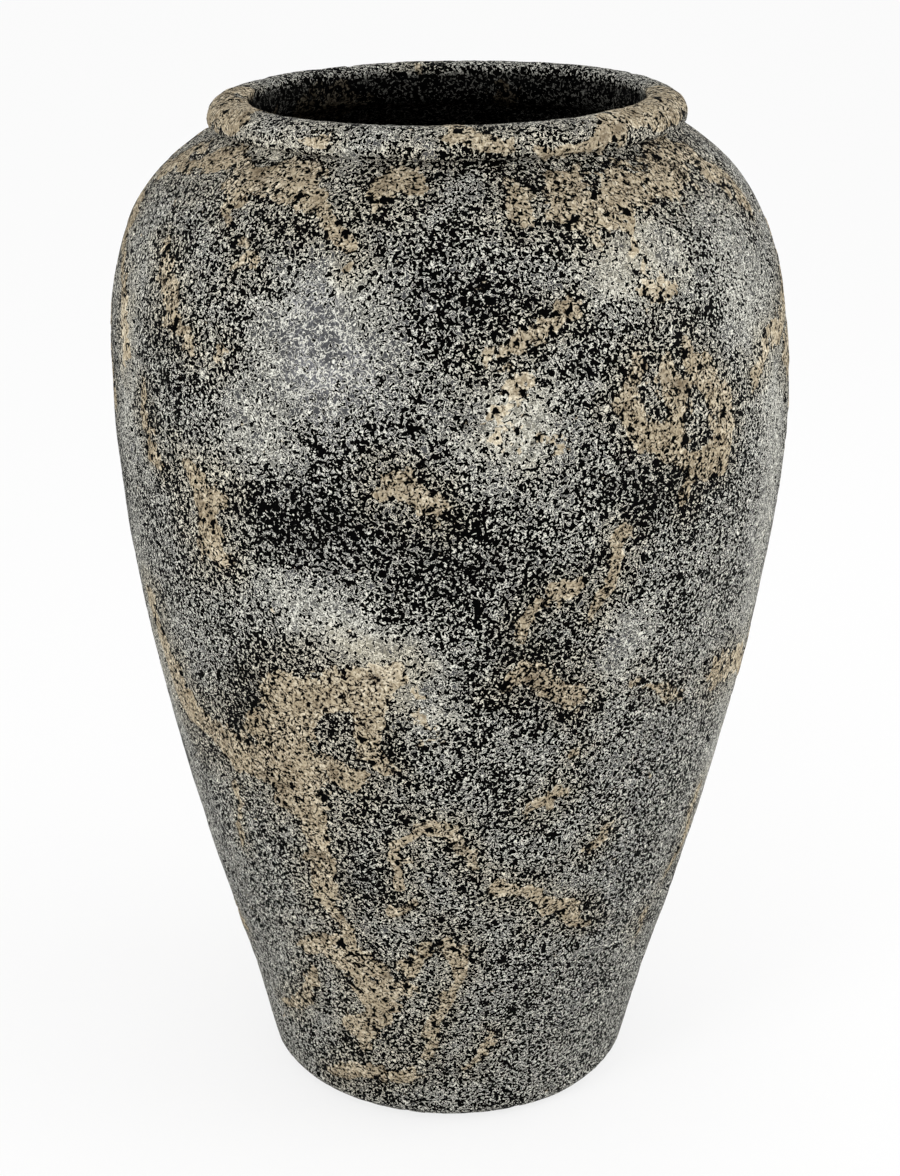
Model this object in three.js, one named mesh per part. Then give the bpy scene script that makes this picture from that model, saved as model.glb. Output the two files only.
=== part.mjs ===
// A tall jar-shaped garden planter in weathered, mottled clay.
// Units are millimetres, +Z is up and the origin is the middle of the foot, on the ground.
// The jar is built up in clay sections, one lathed ring on top of the other, that lock by laps.

import * as THREE from "three";

// Overall sizes of the jar
const pot_height = 560;
const foot_diameter = 212;
const belly_diameter = 362;
const belly_height = 394;
const rim_diameter = 248;

// Foot: a rounded corner, then a steep band, then the wall leans out further
const foot_corner_radius = 14;
const band_height = 60;
const band_lean_degrees = 12.9;
const wall_lean_degrees = 16.1;

// Clay thicknesses
const wall_thickness = 12;
const floor_thickness = 16;
const floor_fillet_radius = 14;

// Foot ring under the floor
const foot_ring_height = 8;
const foot_ring_bore_diameter = 150;

// Rolled rim: its width from the widest line in to the lip, how far in its highest line lies,
// its height over the crease and how far the highest line is over the widest one
const rim_width = 21.2;
const rim_crown_reach = 13.5;
const rim_height = 16;
const rim_crown_height = 12.2;
const crease_depth = 4;
const neck_lean_degrees = 55.5;
const collar_height = 22;

// Laps between the clay sections
const lap_height = 6;
const lap_clearance = 0.3;

// Drain hole and its rubber stopper
const drain_hole_diameter = 26;
const stopper_clearance = 0.5;
const stopper_head_overlap = 6;
const stopper_head_thickness = 5;
const stopper_head_edge_radius = 1.5;
const stopper_stem_length = 13;
const stopper_stem_chamfer = 2;
const stopper_knob_diameter = 14;
const stopper_knob_height = 12;

// How full the curves of the wall are, as shares of the heights that they climb
const lower_curve_shares = { leaving: 0.306, arriving: 0.2 };
const shoulder_curve_shares = { leaving: 0.73, arriving: 0.275 };

// Seams of the three wall sections, as shares of the height between floor and collar
const wall_seam_shares = [0.36, 0.74];

// Facets round the jar and round the stopper, and points along each curve
const jar_facets = 48;
const stopper_facets = 24;
const foot_corner_steps = 5;
const wall_curve_steps = 14;
const shoulder_curve_steps = 12;
const fillet_steps = 4;
const roll_steps = 12;
const quarter_steps = 3;
const knob_steps = 4;

// Heights and radii that follow from the sizes above
const floor_height = foot_ring_height + floor_thickness;
const neck_height = pot_height - rim_height;
const collar_seam_height = neck_height - collar_height;
const crease_radius = rim_diameter / 2 - crease_depth;

// The direction of a wall that leans out from the vertical by some degrees
function leaning(degrees) {
  const angle = THREE.MathUtils.degToRad(degrees);
  return new THREE.Vector2(Math.sin(angle), Math.cos(angle));
}

// An elliptical arc in the radius and height plane, from one angle to another in degrees
function arc_points(middle, radial, upright, from, to, steps) {
  const start = THREE.MathUtils.degToRad(from);
  const end = THREE.MathUtils.degToRad(to);
  const curve = new THREE.EllipseCurve(middle.x, middle.y, radial, upright, start, end, end < start);
  return curve.getPoints(steps);
}

// The points of a cubic curve with a straight start and finish
function bend_points(start, leaving, arriving, end, steps) {
  return new THREE.CubicBezierCurve(start, leaving, arriving, end).getPoints(steps);
}

// The radius of an outline at one height
function radius_at(outline, height) {
  const above = outline.findIndex((point) => point.y >= height);
  if (above <= 0) return above === 0 ? outline[0].x : outline[outline.length - 1].x;
  const low = outline[above - 1];
  const high = outline[above];
  return low.x + ((high.x - low.x) * (height - low.y)) / (high.y - low.y);
}

// The stretch of an outline between two heights, with a point exactly at each
function stretch(outline, low, high) {
  const between = outline.filter((point) => point.y > low && point.y < high);
  const first = new THREE.Vector2(radius_at(outline, low), low);
  const last = new THREE.Vector2(radius_at(outline, high), high);
  return [first, ...between, last];
}

// The outline of the jar's outer face, from the ground up to the crease under the roll
function outer_outline() {
  const band_way = leaning(band_lean_degrees);
  const wall_way = leaning(wall_lean_degrees);
  const neck_way = leaning(-neck_lean_degrees);

  const corner_middle = new THREE.Vector2(
    foot_diameter / 2 - foot_corner_radius * band_way.y,
    foot_corner_radius,
  );
  const corner = arc_points(
    corner_middle, foot_corner_radius, foot_corner_radius, -90, -band_lean_degrees, foot_corner_steps,
  );

  const band_start = corner[corner.length - 1];
  const band_rise = band_height - band_start.y;
  const band_end = new THREE.Vector2(
    band_start.x + (band_rise * band_way.x) / band_way.y, band_height,
  );

  const belly = new THREE.Vector2(belly_diameter / 2, belly_height);
  const lower_pull = belly_height * lower_curve_shares.leaving;
  const lower_leaving = band_end.clone().addScaledVector(wall_way, lower_pull);
  const lower_arriving = new THREE.Vector2(belly.x, belly_height * (1 - lower_curve_shares.arriving));
  const lower = bend_points(band_end, lower_leaving, lower_arriving, belly, wall_curve_steps);

  const neck = new THREE.Vector2(crease_radius, neck_height);
  const climb = neck_height - belly_height;
  const upper_pull = climb * shoulder_curve_shares.arriving;
  const upper_leaving = new THREE.Vector2(belly.x, belly_height + climb * shoulder_curve_shares.leaving);
  const upper_arriving = neck.clone().addScaledVector(neck_way, -upper_pull);
  const upper = bend_points(belly, upper_leaving, upper_arriving, neck, shoulder_curve_steps);

  return [...corner, ...lower, ...upper.slice(1)];
}

// The same outline drawn in by the wall's thickness, square to the wall
function inner_outline(outside) {
  const wall = stretch(outside, foot_corner_radius, neck_height);
  const drawn_in = wall.map((point, place) => {
    const before = wall[Math.max(place - 1, 0)];
    const after = wall[Math.min(place + 1, wall.length - 1)];
    const along = after.clone().sub(before).normalize();
    return new THREE.Vector2(point.x - along.y * wall_thickness, point.y + along.x * wall_thickness);
  });
  return drawn_in.filter((point, place) => place === 0 || point.y > drawn_in[place - 1].y);
}

const outer = outer_outline();
const inner = inner_outline(outer);

// One lathed ring or plug from its outline, with the lathe's own axis stood upright
function turned(name, outline, facets, material) {
  const geometry = new THREE.LatheGeometry(outline, facets);
  geometry.rotateX(Math.PI / 2);
  const piece = new THREE.Mesh(geometry, material);
  piece.name = name;
  return piece;
}

// The radius of a lap's upright face: midway through the clay that both sections share
function lap_radius(seam) {
  const outermost = Math.min(radius_at(outer, seam), radius_at(outer, seam + lap_height));
  const innermost = Math.max(radius_at(inner, seam), radius_at(inner, seam + lap_height));
  return (outermost + innermost) / 2;
}

// The top of a section, from its outer face to its inner face: the inner half stands up as a tongue
function lap_top(seam) {
  const upright = lap_radius(seam);
  return [new THREE.Vector2(upright, seam), new THREE.Vector2(upright, seam + lap_height)];
}

// The foot of a section, from its inner face to its outer face: it hangs down outside the tongue
function lap_foot(seam) {
  const upright = lap_radius(seam) + lap_clearance;
  return [new THREE.Vector2(upright, seam + lap_height), new THREE.Vector2(upright, seam)];
}

function closed(outline) {
  return [...outline, outline[0].clone()];
}

function clay(colour, roughness) {
  return new THREE.MeshStandardMaterial({ color: colour, roughness, metalness: 0 });
}

const base_clay = clay(0x4c4b47, 0.9);
const wall_clay = clay(0x7b7a73, 0.82);
const shoulder_clay = clay(0x86847b, 0.8);
const rim_clay = clay(0x9a968a, 0.78);
const stopper_rubber = clay(0x1b1b1c, 0.7);

// Foot ring: the rounded corner that the jar stands on, with a hollow inside it
function foot_ring() {
  const outside = stretch(outer, 0, foot_ring_height);
  const bore = foot_ring_bore_diameter / 2;
  const outline = closed([
    new THREE.Vector2(bore, 0),
    ...outside,
    new THREE.Vector2(bore, foot_ring_height),
  ]);
  return turned("foot_ring", outline, jar_facets, base_clay);
}

// Floor disc: its edge is stepped so that the wall stands on it and round it
function floor_disc() {
  const seam = floor_height - lap_height;
  const hole = drain_hole_diameter / 2;
  const outline = closed([
    new THREE.Vector2(hole, foot_ring_height),
    ...stretch(outer, foot_ring_height, seam),
    ...lap_top(seam),
    new THREE.Vector2(hole, floor_height),
  ]);
  return turned("floor_disc", outline, jar_facets, base_clay);
}

// Lower wall: it stands on the floor disc, with a fillet of clay pressed into the corner inside
function lower_wall(seam_above) {
  const seam = floor_height - lap_height;
  const fillet_top = floor_height + floor_fillet_radius;
  const fillet_middle = new THREE.Vector2(
    radius_at(inner, fillet_top) - floor_fillet_radius, fillet_top,
  );
  const fillet = arc_points(
    fillet_middle, floor_fillet_radius, floor_fillet_radius, 0, -90, fillet_steps,
  );
  const inside = stretch(inner, fillet_top, seam_above + lap_height).reverse();
  const outline = closed([
    ...lap_foot(seam),
    ...stretch(outer, seam, seam_above),
    ...lap_top(seam_above),
    ...inside.slice(0, -1),
    ...fillet,
  ]);
  return turned("lower_wall", outline, jar_facets, wall_clay);
}

// A wall section between two seams
function wall_section(name, seam_below, seam_above, material) {
  const inside = stretch(inner, seam_below + lap_height, seam_above + lap_height).reverse();
  const outline = closed([
    ...lap_foot(seam_below),
    ...stretch(outer, seam_below, seam_above),
    ...lap_top(seam_above),
    ...inside,
  ]);
  return turned(name, outline, jar_facets, material);
}

// Collar and rolled rim: a coil rolled outwards over the neck, with a crease under it. The roll
// falls a little from its highest line to the lip, and the mouth's wall drops straight from there.
function rolled_rim() {
  const seam = collar_seam_height;
  const widest_height = pot_height - rim_crown_height;
  const crown_middle = new THREE.Vector2(rim_diameter / 2 - rim_crown_reach, widest_height);
  const tuck_middle = new THREE.Vector2(rim_diameter / 2 - rim_width / 2, widest_height);
  const crease_middle = new THREE.Vector2(crease_radius, widest_height);
  const lip_share = (rim_width - rim_crown_reach) / rim_crown_reach;
  const lip_angle = 180 - THREE.MathUtils.radToDeg(Math.acos(lip_share));
  const underside = arc_points(
    crease_middle, crease_depth, widest_height - neck_height, -90, 0, quarter_steps,
  );
  const crown = arc_points(
    crown_middle, rim_crown_reach, rim_crown_height, 0, lip_angle, roll_steps,
  );
  const tuck = arc_points(tuck_middle, rim_width / 2, rim_crown_height, 180, 270, quarter_steps);
  const outline = closed([
    ...lap_foot(seam),
    ...stretch(outer, seam, neck_height).slice(0, -1),
    ...underside,
    ...crown.slice(1),
    ...tuck,
    new THREE.Vector2(radius_at(inner, seam + lap_height), seam + lap_height),
  ]);
  return turned("rolled_rim", outline, jar_facets, rim_clay);
}

// Rubber stopper: its head lies on the floor inside and its stem hangs in the drain hole
function drain_stopper() {
  const stem = drain_hole_diameter / 2 - stopper_clearance;
  const head = drain_hole_diameter / 2 + stopper_head_overlap;
  const knob = stopper_knob_diameter / 2;
  const edge = stopper_head_edge_radius;
  const edge_middle = new THREE.Vector2(head - edge, stopper_head_thickness - edge);
  const knob_middle = new THREE.Vector2(0, stopper_head_thickness + stopper_knob_height - knob);
  const outline = [
    new THREE.Vector2(0, -stopper_stem_length),
    new THREE.Vector2(stem - stopper_stem_chamfer, -stopper_stem_length),
    new THREE.Vector2(stem, stopper_stem_chamfer - stopper_stem_length),
    new THREE.Vector2(stem, 0),
    new THREE.Vector2(head, 0),
    ...arc_points(edge_middle, edge, edge, 0, 90, quarter_steps),
    new THREE.Vector2(knob, stopper_head_thickness),
    ...arc_points(knob_middle, knob, knob, 0, 90, knob_steps),
  ];
  const stopper = turned("drain_stopper", outline, stopper_facets, stopper_rubber);
  stopper.position.z = floor_height;
  return stopper;
}

const wall_rise = collar_seam_height - floor_height;
const first_seam = floor_height + wall_rise * wall_seam_shares[0];
const second_seam = floor_height + wall_rise * wall_seam_shares[1];

const jar = new THREE.Group();
jar.add(foot_ring());
jar.add(floor_disc());
jar.add(lower_wall(first_seam));
jar.add(wall_section("middle_wall", first_seam, second_seam, wall_clay));
jar.add(wall_section("shoulder_wall", second_seam, collar_seam_height, shoulder_clay));
jar.add(rolled_rim());
jar.add(drain_stopper());

export default jar;
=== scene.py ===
"""A tall jar planter of weathered clay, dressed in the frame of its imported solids.

The jar has one skin, which runs from the ground up the outside, over the rolled rim and
down the inside to the drain hole. Every clay section takes its own rows of that skin, so
the relief and the shading run on across the seams between the sections.
"""

import itertools
import logging
import math
from collections.abc import Iterable
from dataclasses import dataclass, field
from enum import Enum

import bpy
import numpy as np
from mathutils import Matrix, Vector

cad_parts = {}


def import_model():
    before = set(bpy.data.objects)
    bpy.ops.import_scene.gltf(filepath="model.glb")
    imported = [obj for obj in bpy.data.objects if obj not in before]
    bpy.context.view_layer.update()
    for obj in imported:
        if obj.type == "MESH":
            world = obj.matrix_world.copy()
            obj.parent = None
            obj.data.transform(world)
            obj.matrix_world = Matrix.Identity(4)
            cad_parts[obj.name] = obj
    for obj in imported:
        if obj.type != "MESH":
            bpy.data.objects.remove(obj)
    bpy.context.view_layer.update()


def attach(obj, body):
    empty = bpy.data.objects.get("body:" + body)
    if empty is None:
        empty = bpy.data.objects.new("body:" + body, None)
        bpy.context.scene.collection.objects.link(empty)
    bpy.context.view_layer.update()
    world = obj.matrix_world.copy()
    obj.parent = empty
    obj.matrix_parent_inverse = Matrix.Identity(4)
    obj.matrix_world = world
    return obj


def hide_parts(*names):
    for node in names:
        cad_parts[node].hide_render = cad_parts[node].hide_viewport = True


log = logging.getLogger("planter_jar")

FULL_TURN = 2.0 * math.pi
MILLIMETRES = 1000.0
SMEAR_CORE = 1.4
NOISE_MIDDLE = 0.5

Node = bpy.types.Node
Socket = bpy.types.NodeSocket
Points = np.ndarray
Colour = tuple[float, float, float]
Place = tuple[float, float, float]
Value = Socket | float | tuple[float, ...]


class Landmark(Enum):
    """A named place on the skin's profile, in the order that the skin passes them."""

    GROUND = "ground"
    RING_TOP = "ring_top"
    FLOOR_SEAM = "floor_seam"
    LOWER_SEAM = "lower_seam"
    UPPER_SEAM = "upper_seam"
    COLLAR_SEAM = "collar_seam"
    LIP = "lip"
    COLLAR_INSIDE = "collar_inside"
    UPPER_INSIDE = "upper_inside"
    LOWER_INSIDE = "lower_inside"
    FLOOR_EDGE = "floor_edge"
    HOLE_EDGE = "hole_edge"


class Tone(Enum):
    """A tone that lies on the skin and says how much of something there is at each point."""

    CRUST = "crust"
    WASH = "wash"
    CHILL = "chill"
    # soot and shade: darker clay with more black gaps as soot; the bars under the roll are painted shade in
    # the crease
    SOOT_AND_SHADE = "soot_and_shade"
    # polish and highlight: smoother, glossier clay with fewer black gaps and pale veins; on the upper left
    # belly it is a painted highlight, near the sides a painted reflection
    POLISH_AND_HIGHLIGHT = "polish_and_highlight"
    INSIDE = "inside"


class Slot(Enum):
    """The material slots of the record."""

    FOOT = "foot_clay"
    WALL = "wall_clay"
    RIM = "rim_clay"
    STOPPER = "stopper_rubber"


def leaning(degrees: float) -> Points:
    """Give the direction of a wall that leans out from the vertical by some degrees."""
    return np.array([math.sin(math.radians(degrees)), math.cos(math.radians(degrees))])


def arc(middle: Points, radial: float, upright: float, first: float, last: float, steps: int) -> Points:
    """Trace an elliptical arc in the radius and height plane.

    Args:
        middle: The arc's middle, as radius and height.
        radial: The half width.
        upright: The half height.
        first: The angle at which it starts, in degrees.
        last: The angle at which it ends, in degrees.
        steps: How many chords it is traced with.

    Returns:
        One row of radius and height for each point.
    """
    turn = np.radians(np.linspace(first, last, steps + 1))
    return np.column_stack([middle[0] + radial * np.cos(turn), middle[1] + upright * np.sin(turn)])


def bend(start: Points, leaving: Points, arriving: Points, end: Points, steps: int) -> Points:
    """Trace a cubic curve in the radius and height plane.

    Args:
        start: Its first point.
        leaving: The point it heads for when it leaves.
        arriving: The point it comes from when it arrives.
        end: Its last point.
        steps: How many chords it is traced with.

    Returns:
        One row of radius and height for each point.
    """
    share = np.linspace(0.0, 1.0, steps + 1)[:, None]
    rest = 1.0 - share
    near = rest**3 * start + 3.0 * rest**2 * share * leaving
    return near + 3.0 * rest * share**2 * arriving + share**3 * end


def radius_at(outline: Points, height: float) -> float:
    """Read the radius of a rising outline at one height."""
    return float(np.interp(height, outline[:, 1], outline[:, 0]))


def stretch(outline: Points, low: float, high: float) -> Points:
    """Cut a rising outline to the part between two heights, with a point exactly at each.

    Args:
        outline: The outline, as rows of radius and height.
        low: The lower height.
        high: The upper height.

    Returns:
        The part between them.
    """
    between = outline[(outline[:, 1] > low) & (outline[:, 1] < high)]
    first = [radius_at(outline, low), low]
    last = [radius_at(outline, high), high]
    return np.vstack([first, between, last])


def spaced(line: Points, spacing: float) -> Points:
    """Lay points along a line at an even spacing, keeping both its ends.

    Args:
        line: The line, as rows of radius and height.
        spacing: The most that two points may lie apart.

    Returns:
        The new points.
    """
    steps = np.linalg.norm(np.diff(line, axis=0), axis=1)
    run = np.concatenate([[0.0], np.cumsum(steps)])
    count = max(2, math.ceil(run[-1] / spacing) + 1)
    wanted = np.linspace(0.0, run[-1], count)
    return np.column_stack([np.interp(wanted, run, line[:, 0]), np.interp(wanted, run, line[:, 1])])


def faded(value: Points, low: float, high: float) -> Points:
    """Rise smoothly from nothing at one value to one at the other."""
    share = np.clip((value - low) / (high - low), 0.0, 1.0)
    return share * share * (3.0 - 2.0 * share)


@dataclass(frozen=True)
class JarOutline:
    """The jar's profile in metres, by the same named sizes as its solids."""

    height: float = 0.560
    foot_radius: float = 0.106
    belly_radius: float = 0.181
    belly_height: float = 0.394
    rim_radius: float = 0.124
    corner_radius: float = 0.014
    band_height: float = 0.060
    band_lean: float = 12.9
    wall_lean: float = 16.1
    wall_thickness: float = 0.012
    ring_height: float = 0.008
    ring_bore_radius: float = 0.075
    floor_thickness: float = 0.016
    fillet_radius: float = 0.014
    rim_width: float = 0.0212
    crown_reach: float = 0.0135
    rim_rise: float = 0.016
    crown_rise: float = 0.0122
    crease_depth: float = 0.004
    neck_lean: float = 55.5
    collar_rise: float = 0.022
    lap_rise: float = 0.006
    lap_gap: float = 0.0003
    hole_radius: float = 0.013
    lower_leaving: float = 0.306
    lower_arriving: float = 0.2
    shoulder_leaving: float = 0.73
    shoulder_arriving: float = 0.275
    lower_seam_share: float = 0.36
    upper_seam_share: float = 0.74
    curve_steps: int = 160

    @property
    def floor_height(self) -> float:
        """Give the height of the floor inside."""
        return self.ring_height + self.floor_thickness

    @property
    def floor_seam(self) -> float:
        """Give the height at which the wall starts outside."""
        return self.floor_height - self.lap_rise

    @property
    def neck_height(self) -> float:
        """Give the height of the crease under the roll."""
        return self.height - self.rim_rise

    @property
    def collar_seam(self) -> float:
        """Give the height at which the collar starts."""
        return self.neck_height - self.collar_rise

    def wall_seam(self, share: float) -> float:
        """Give the height of a seam from its share of the rise between floor and collar."""
        return self.floor_height + share * (self.collar_seam - self.floor_height)

    @property
    def lower_seam(self) -> float:
        """Give the height of the seam between the lower and the middle wall."""
        return self.wall_seam(self.lower_seam_share)

    @property
    def upper_seam(self) -> float:
        """Give the height of the seam between the middle and the shoulder wall."""
        return self.wall_seam(self.upper_seam_share)

    def outside(self) -> Points:
        """Trace the outer face from the ground up to the crease under the roll.

        Returns:
            Rows of radius and height, upwards.
        """
        band_way = leaning(self.band_lean)
        corner_middle = np.array([self.foot_radius - self.corner_radius * band_way[1], self.corner_radius])
        corner = arc(
            corner_middle, self.corner_radius, self.corner_radius, -90.0, -self.band_lean, self.curve_steps
        )
        rise = self.band_height - corner[-1, 1]
        band_end = np.array([corner[-1, 0] + rise * band_way[0] / band_way[1], self.band_height])
        belly = np.array([self.belly_radius, self.belly_height])
        lower = bend(
            band_end,
            band_end + leaning(self.wall_lean) * self.belly_height * self.lower_leaving,
            np.array([self.belly_radius, self.belly_height * (1.0 - self.lower_arriving)]),
            belly,
            self.curve_steps,
        )
        neck = np.array([self.rim_radius - self.crease_depth, self.neck_height])
        climb = self.neck_height - self.belly_height
        upper = bend(
            belly,
            belly + np.array([0.0, climb * self.shoulder_leaving]),
            neck - leaning(-self.neck_lean) * climb * self.shoulder_arriving,
            neck,
            self.curve_steps,
        )
        return np.vstack([corner, lower, upper[1:]])

    def inside(self) -> Points:
        """Trace the inner face: the outer one drawn in by the wall's thickness, square to it.

        Returns:
            Rows of radius and height, upwards.
        """
        wall = stretch(self.outside(), self.corner_radius, self.neck_height)
        along = np.gradient(wall, axis=0)
        along /= np.linalg.norm(along, axis=1)[:, None]
        drawn = np.column_stack([
            wall[:, 0] - along[:, 1] * self.wall_thickness,
            wall[:, 1] + along[:, 0] * self.wall_thickness,
        ])
        rising = np.concatenate([[True], np.diff(drawn[:, 1]) > 0.0])
        return drawn[rising]

    @property
    def widest_height(self) -> float:
        """Give the height of the roll's widest line."""
        return self.height - self.crown_rise

    def roll(self) -> Points:
        """Trace the rim from the crease over the roll to the lip.

        Returns:
            Rows of radius and height.
        """
        crown = np.array([self.rim_radius - self.crown_reach, self.widest_height])
        crease = np.array([self.rim_radius - self.crease_depth, self.widest_height])
        under_rise = self.widest_height - self.neck_height
        under = arc(crease, self.crease_depth, under_rise, -90.0, 0.0, self.curve_steps)
        lip_share = (self.rim_width - self.crown_reach) / self.crown_reach
        lip_angle = 180.0 - math.degrees(math.acos(lip_share))
        over = arc(crown, self.crown_reach, self.crown_rise, 0.0, lip_angle, self.curve_steps)
        return np.vstack([under, over[1:]])

    def throat(self) -> Points:
        """Trace the mouth's wall from the lip down to the edge tucked under the roll.

        Returns:
            Rows of radius and height, downwards.
        """
        middle = np.array([self.rim_radius - self.rim_width / 2.0, self.widest_height])
        tuck = arc(middle, self.rim_width / 2.0, self.crown_rise, 180.0, 270.0, self.curve_steps)
        return np.vstack([self.roll()[-1:], tuck])

    def fillet(self) -> Points:
        """Trace the fillet of clay between the wall and the floor inside.

        Returns:
            Rows of radius and height, downwards.
        """
        top = self.floor_height + self.fillet_radius
        middle = np.array([radius_at(self.inside(), top) - self.fillet_radius, top])
        return arc(middle, self.fillet_radius, self.fillet_radius, 0.0, -90.0, self.curve_steps)

    def lap_radius(self, seam: float) -> float:
        """Give the radius of a lap's upright face, midway through the clay of both sections.

        Args:
            seam: The height of the seam outside.

        Returns:
            The radius.
        """
        heights = (seam, seam + self.lap_rise)
        outermost = min(radius_at(self.outside(), height) for height in heights)
        innermost = max(radius_at(self.inside(), height) for height in heights)
        return (outermost + innermost) / 2.0


@dataclass(frozen=True)
class Face:
    """Points on the jar's face: their azimuths in radians, heights and radii in metres."""

    turn: Points
    height: Points
    radius: Points

    def away_from(self, azimuth: float, height: float) -> tuple[Points, Points]:
        """Measure how far each point lies from a place on the face.

        Args:
            azimuth: The place's azimuth, in degrees.
            height: Its height, in millimetres.

        Returns:
            The distances round the jar and up it, in millimetres.
        """
        away = (self.turn - math.radians(azimuth) + math.pi) % FULL_TURN - math.pi
        return away * self.radius * MILLIMETRES, self.height * MILLIMETRES - height


@dataclass(frozen=True)
class Patch:
    """A patch on the jar's face, placed round it and up it.

    Azimuth counts in degrees from the front, to the right as the front is seen. Height and
    the half sizes are in millimetres, and the tilt turns the patch anticlockwise in degrees.
    """

    azimuth: float
    height: float
    half_width: float
    half_rise: float
    strength: float = 1.0
    tilt: float = 0.0

    def weight(self, face: Face) -> Points:
        """Say how strongly the patch covers each point.

        Args:
            face: The points.

        Returns:
            The strength at the patch's middle, falling to nothing a little past its edge.
        """
        across, up = face.away_from(self.azimuth, self.height)
        lean = math.radians(self.tilt)
        along = (across * math.cos(lean) + up * math.sin(lean)) / self.half_width
        over = (up * math.cos(lean) - across * math.sin(lean)) / self.half_rise
        return self.strength * np.clip(SMEAR_CORE - np.hypot(along, over), 0.0, 1.0)


@dataclass(frozen=True)
class Stroke:
    """A smear along a path of points, each an azimuth, a height and a half width.

    Azimuth counts in degrees as for a patch, the height and the half width are in millimetres.
    """

    path: tuple[tuple[float, float, float], ...]
    strength: float = 1.0

    def weight(self, face: Face) -> Points:
        """Say how strongly the smear covers each point.

        Args:
            face: The points.

        Returns:
            The strength along the path, falling to nothing beside it.
        """
        cover = np.zeros(len(face.turn))
        for start, end in zip(self.path, self.path[1:] or self.path):
            across, up = face.away_from(start[0], start[1])
            reach_across = math.radians(end[0] - start[0]) * face.radius * MILLIMETRES
            reach_up = end[1] - start[1]
            length = np.maximum(reach_across**2 + reach_up**2, 1.0)
            share = np.clip((across * reach_across + up * reach_up) / length, 0.0, 1.0)
            off = np.hypot(across - share * reach_across, up - share * reach_up)
            half_width = start[2] + share * (end[2] - start[2])
            cover = np.maximum(cover, np.clip(SMEAR_CORE - off / half_width, 0.0, 1.0))
        return self.strength * cover

    def widened(self, factor: float, extra: float) -> "Stroke":
        """Give the same smear wider: each half width times a factor, plus some millimetres."""
        path = tuple((turn, height, width * factor + extra) for turn, height, width in self.path)
        return Stroke(path, self.strength)


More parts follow.
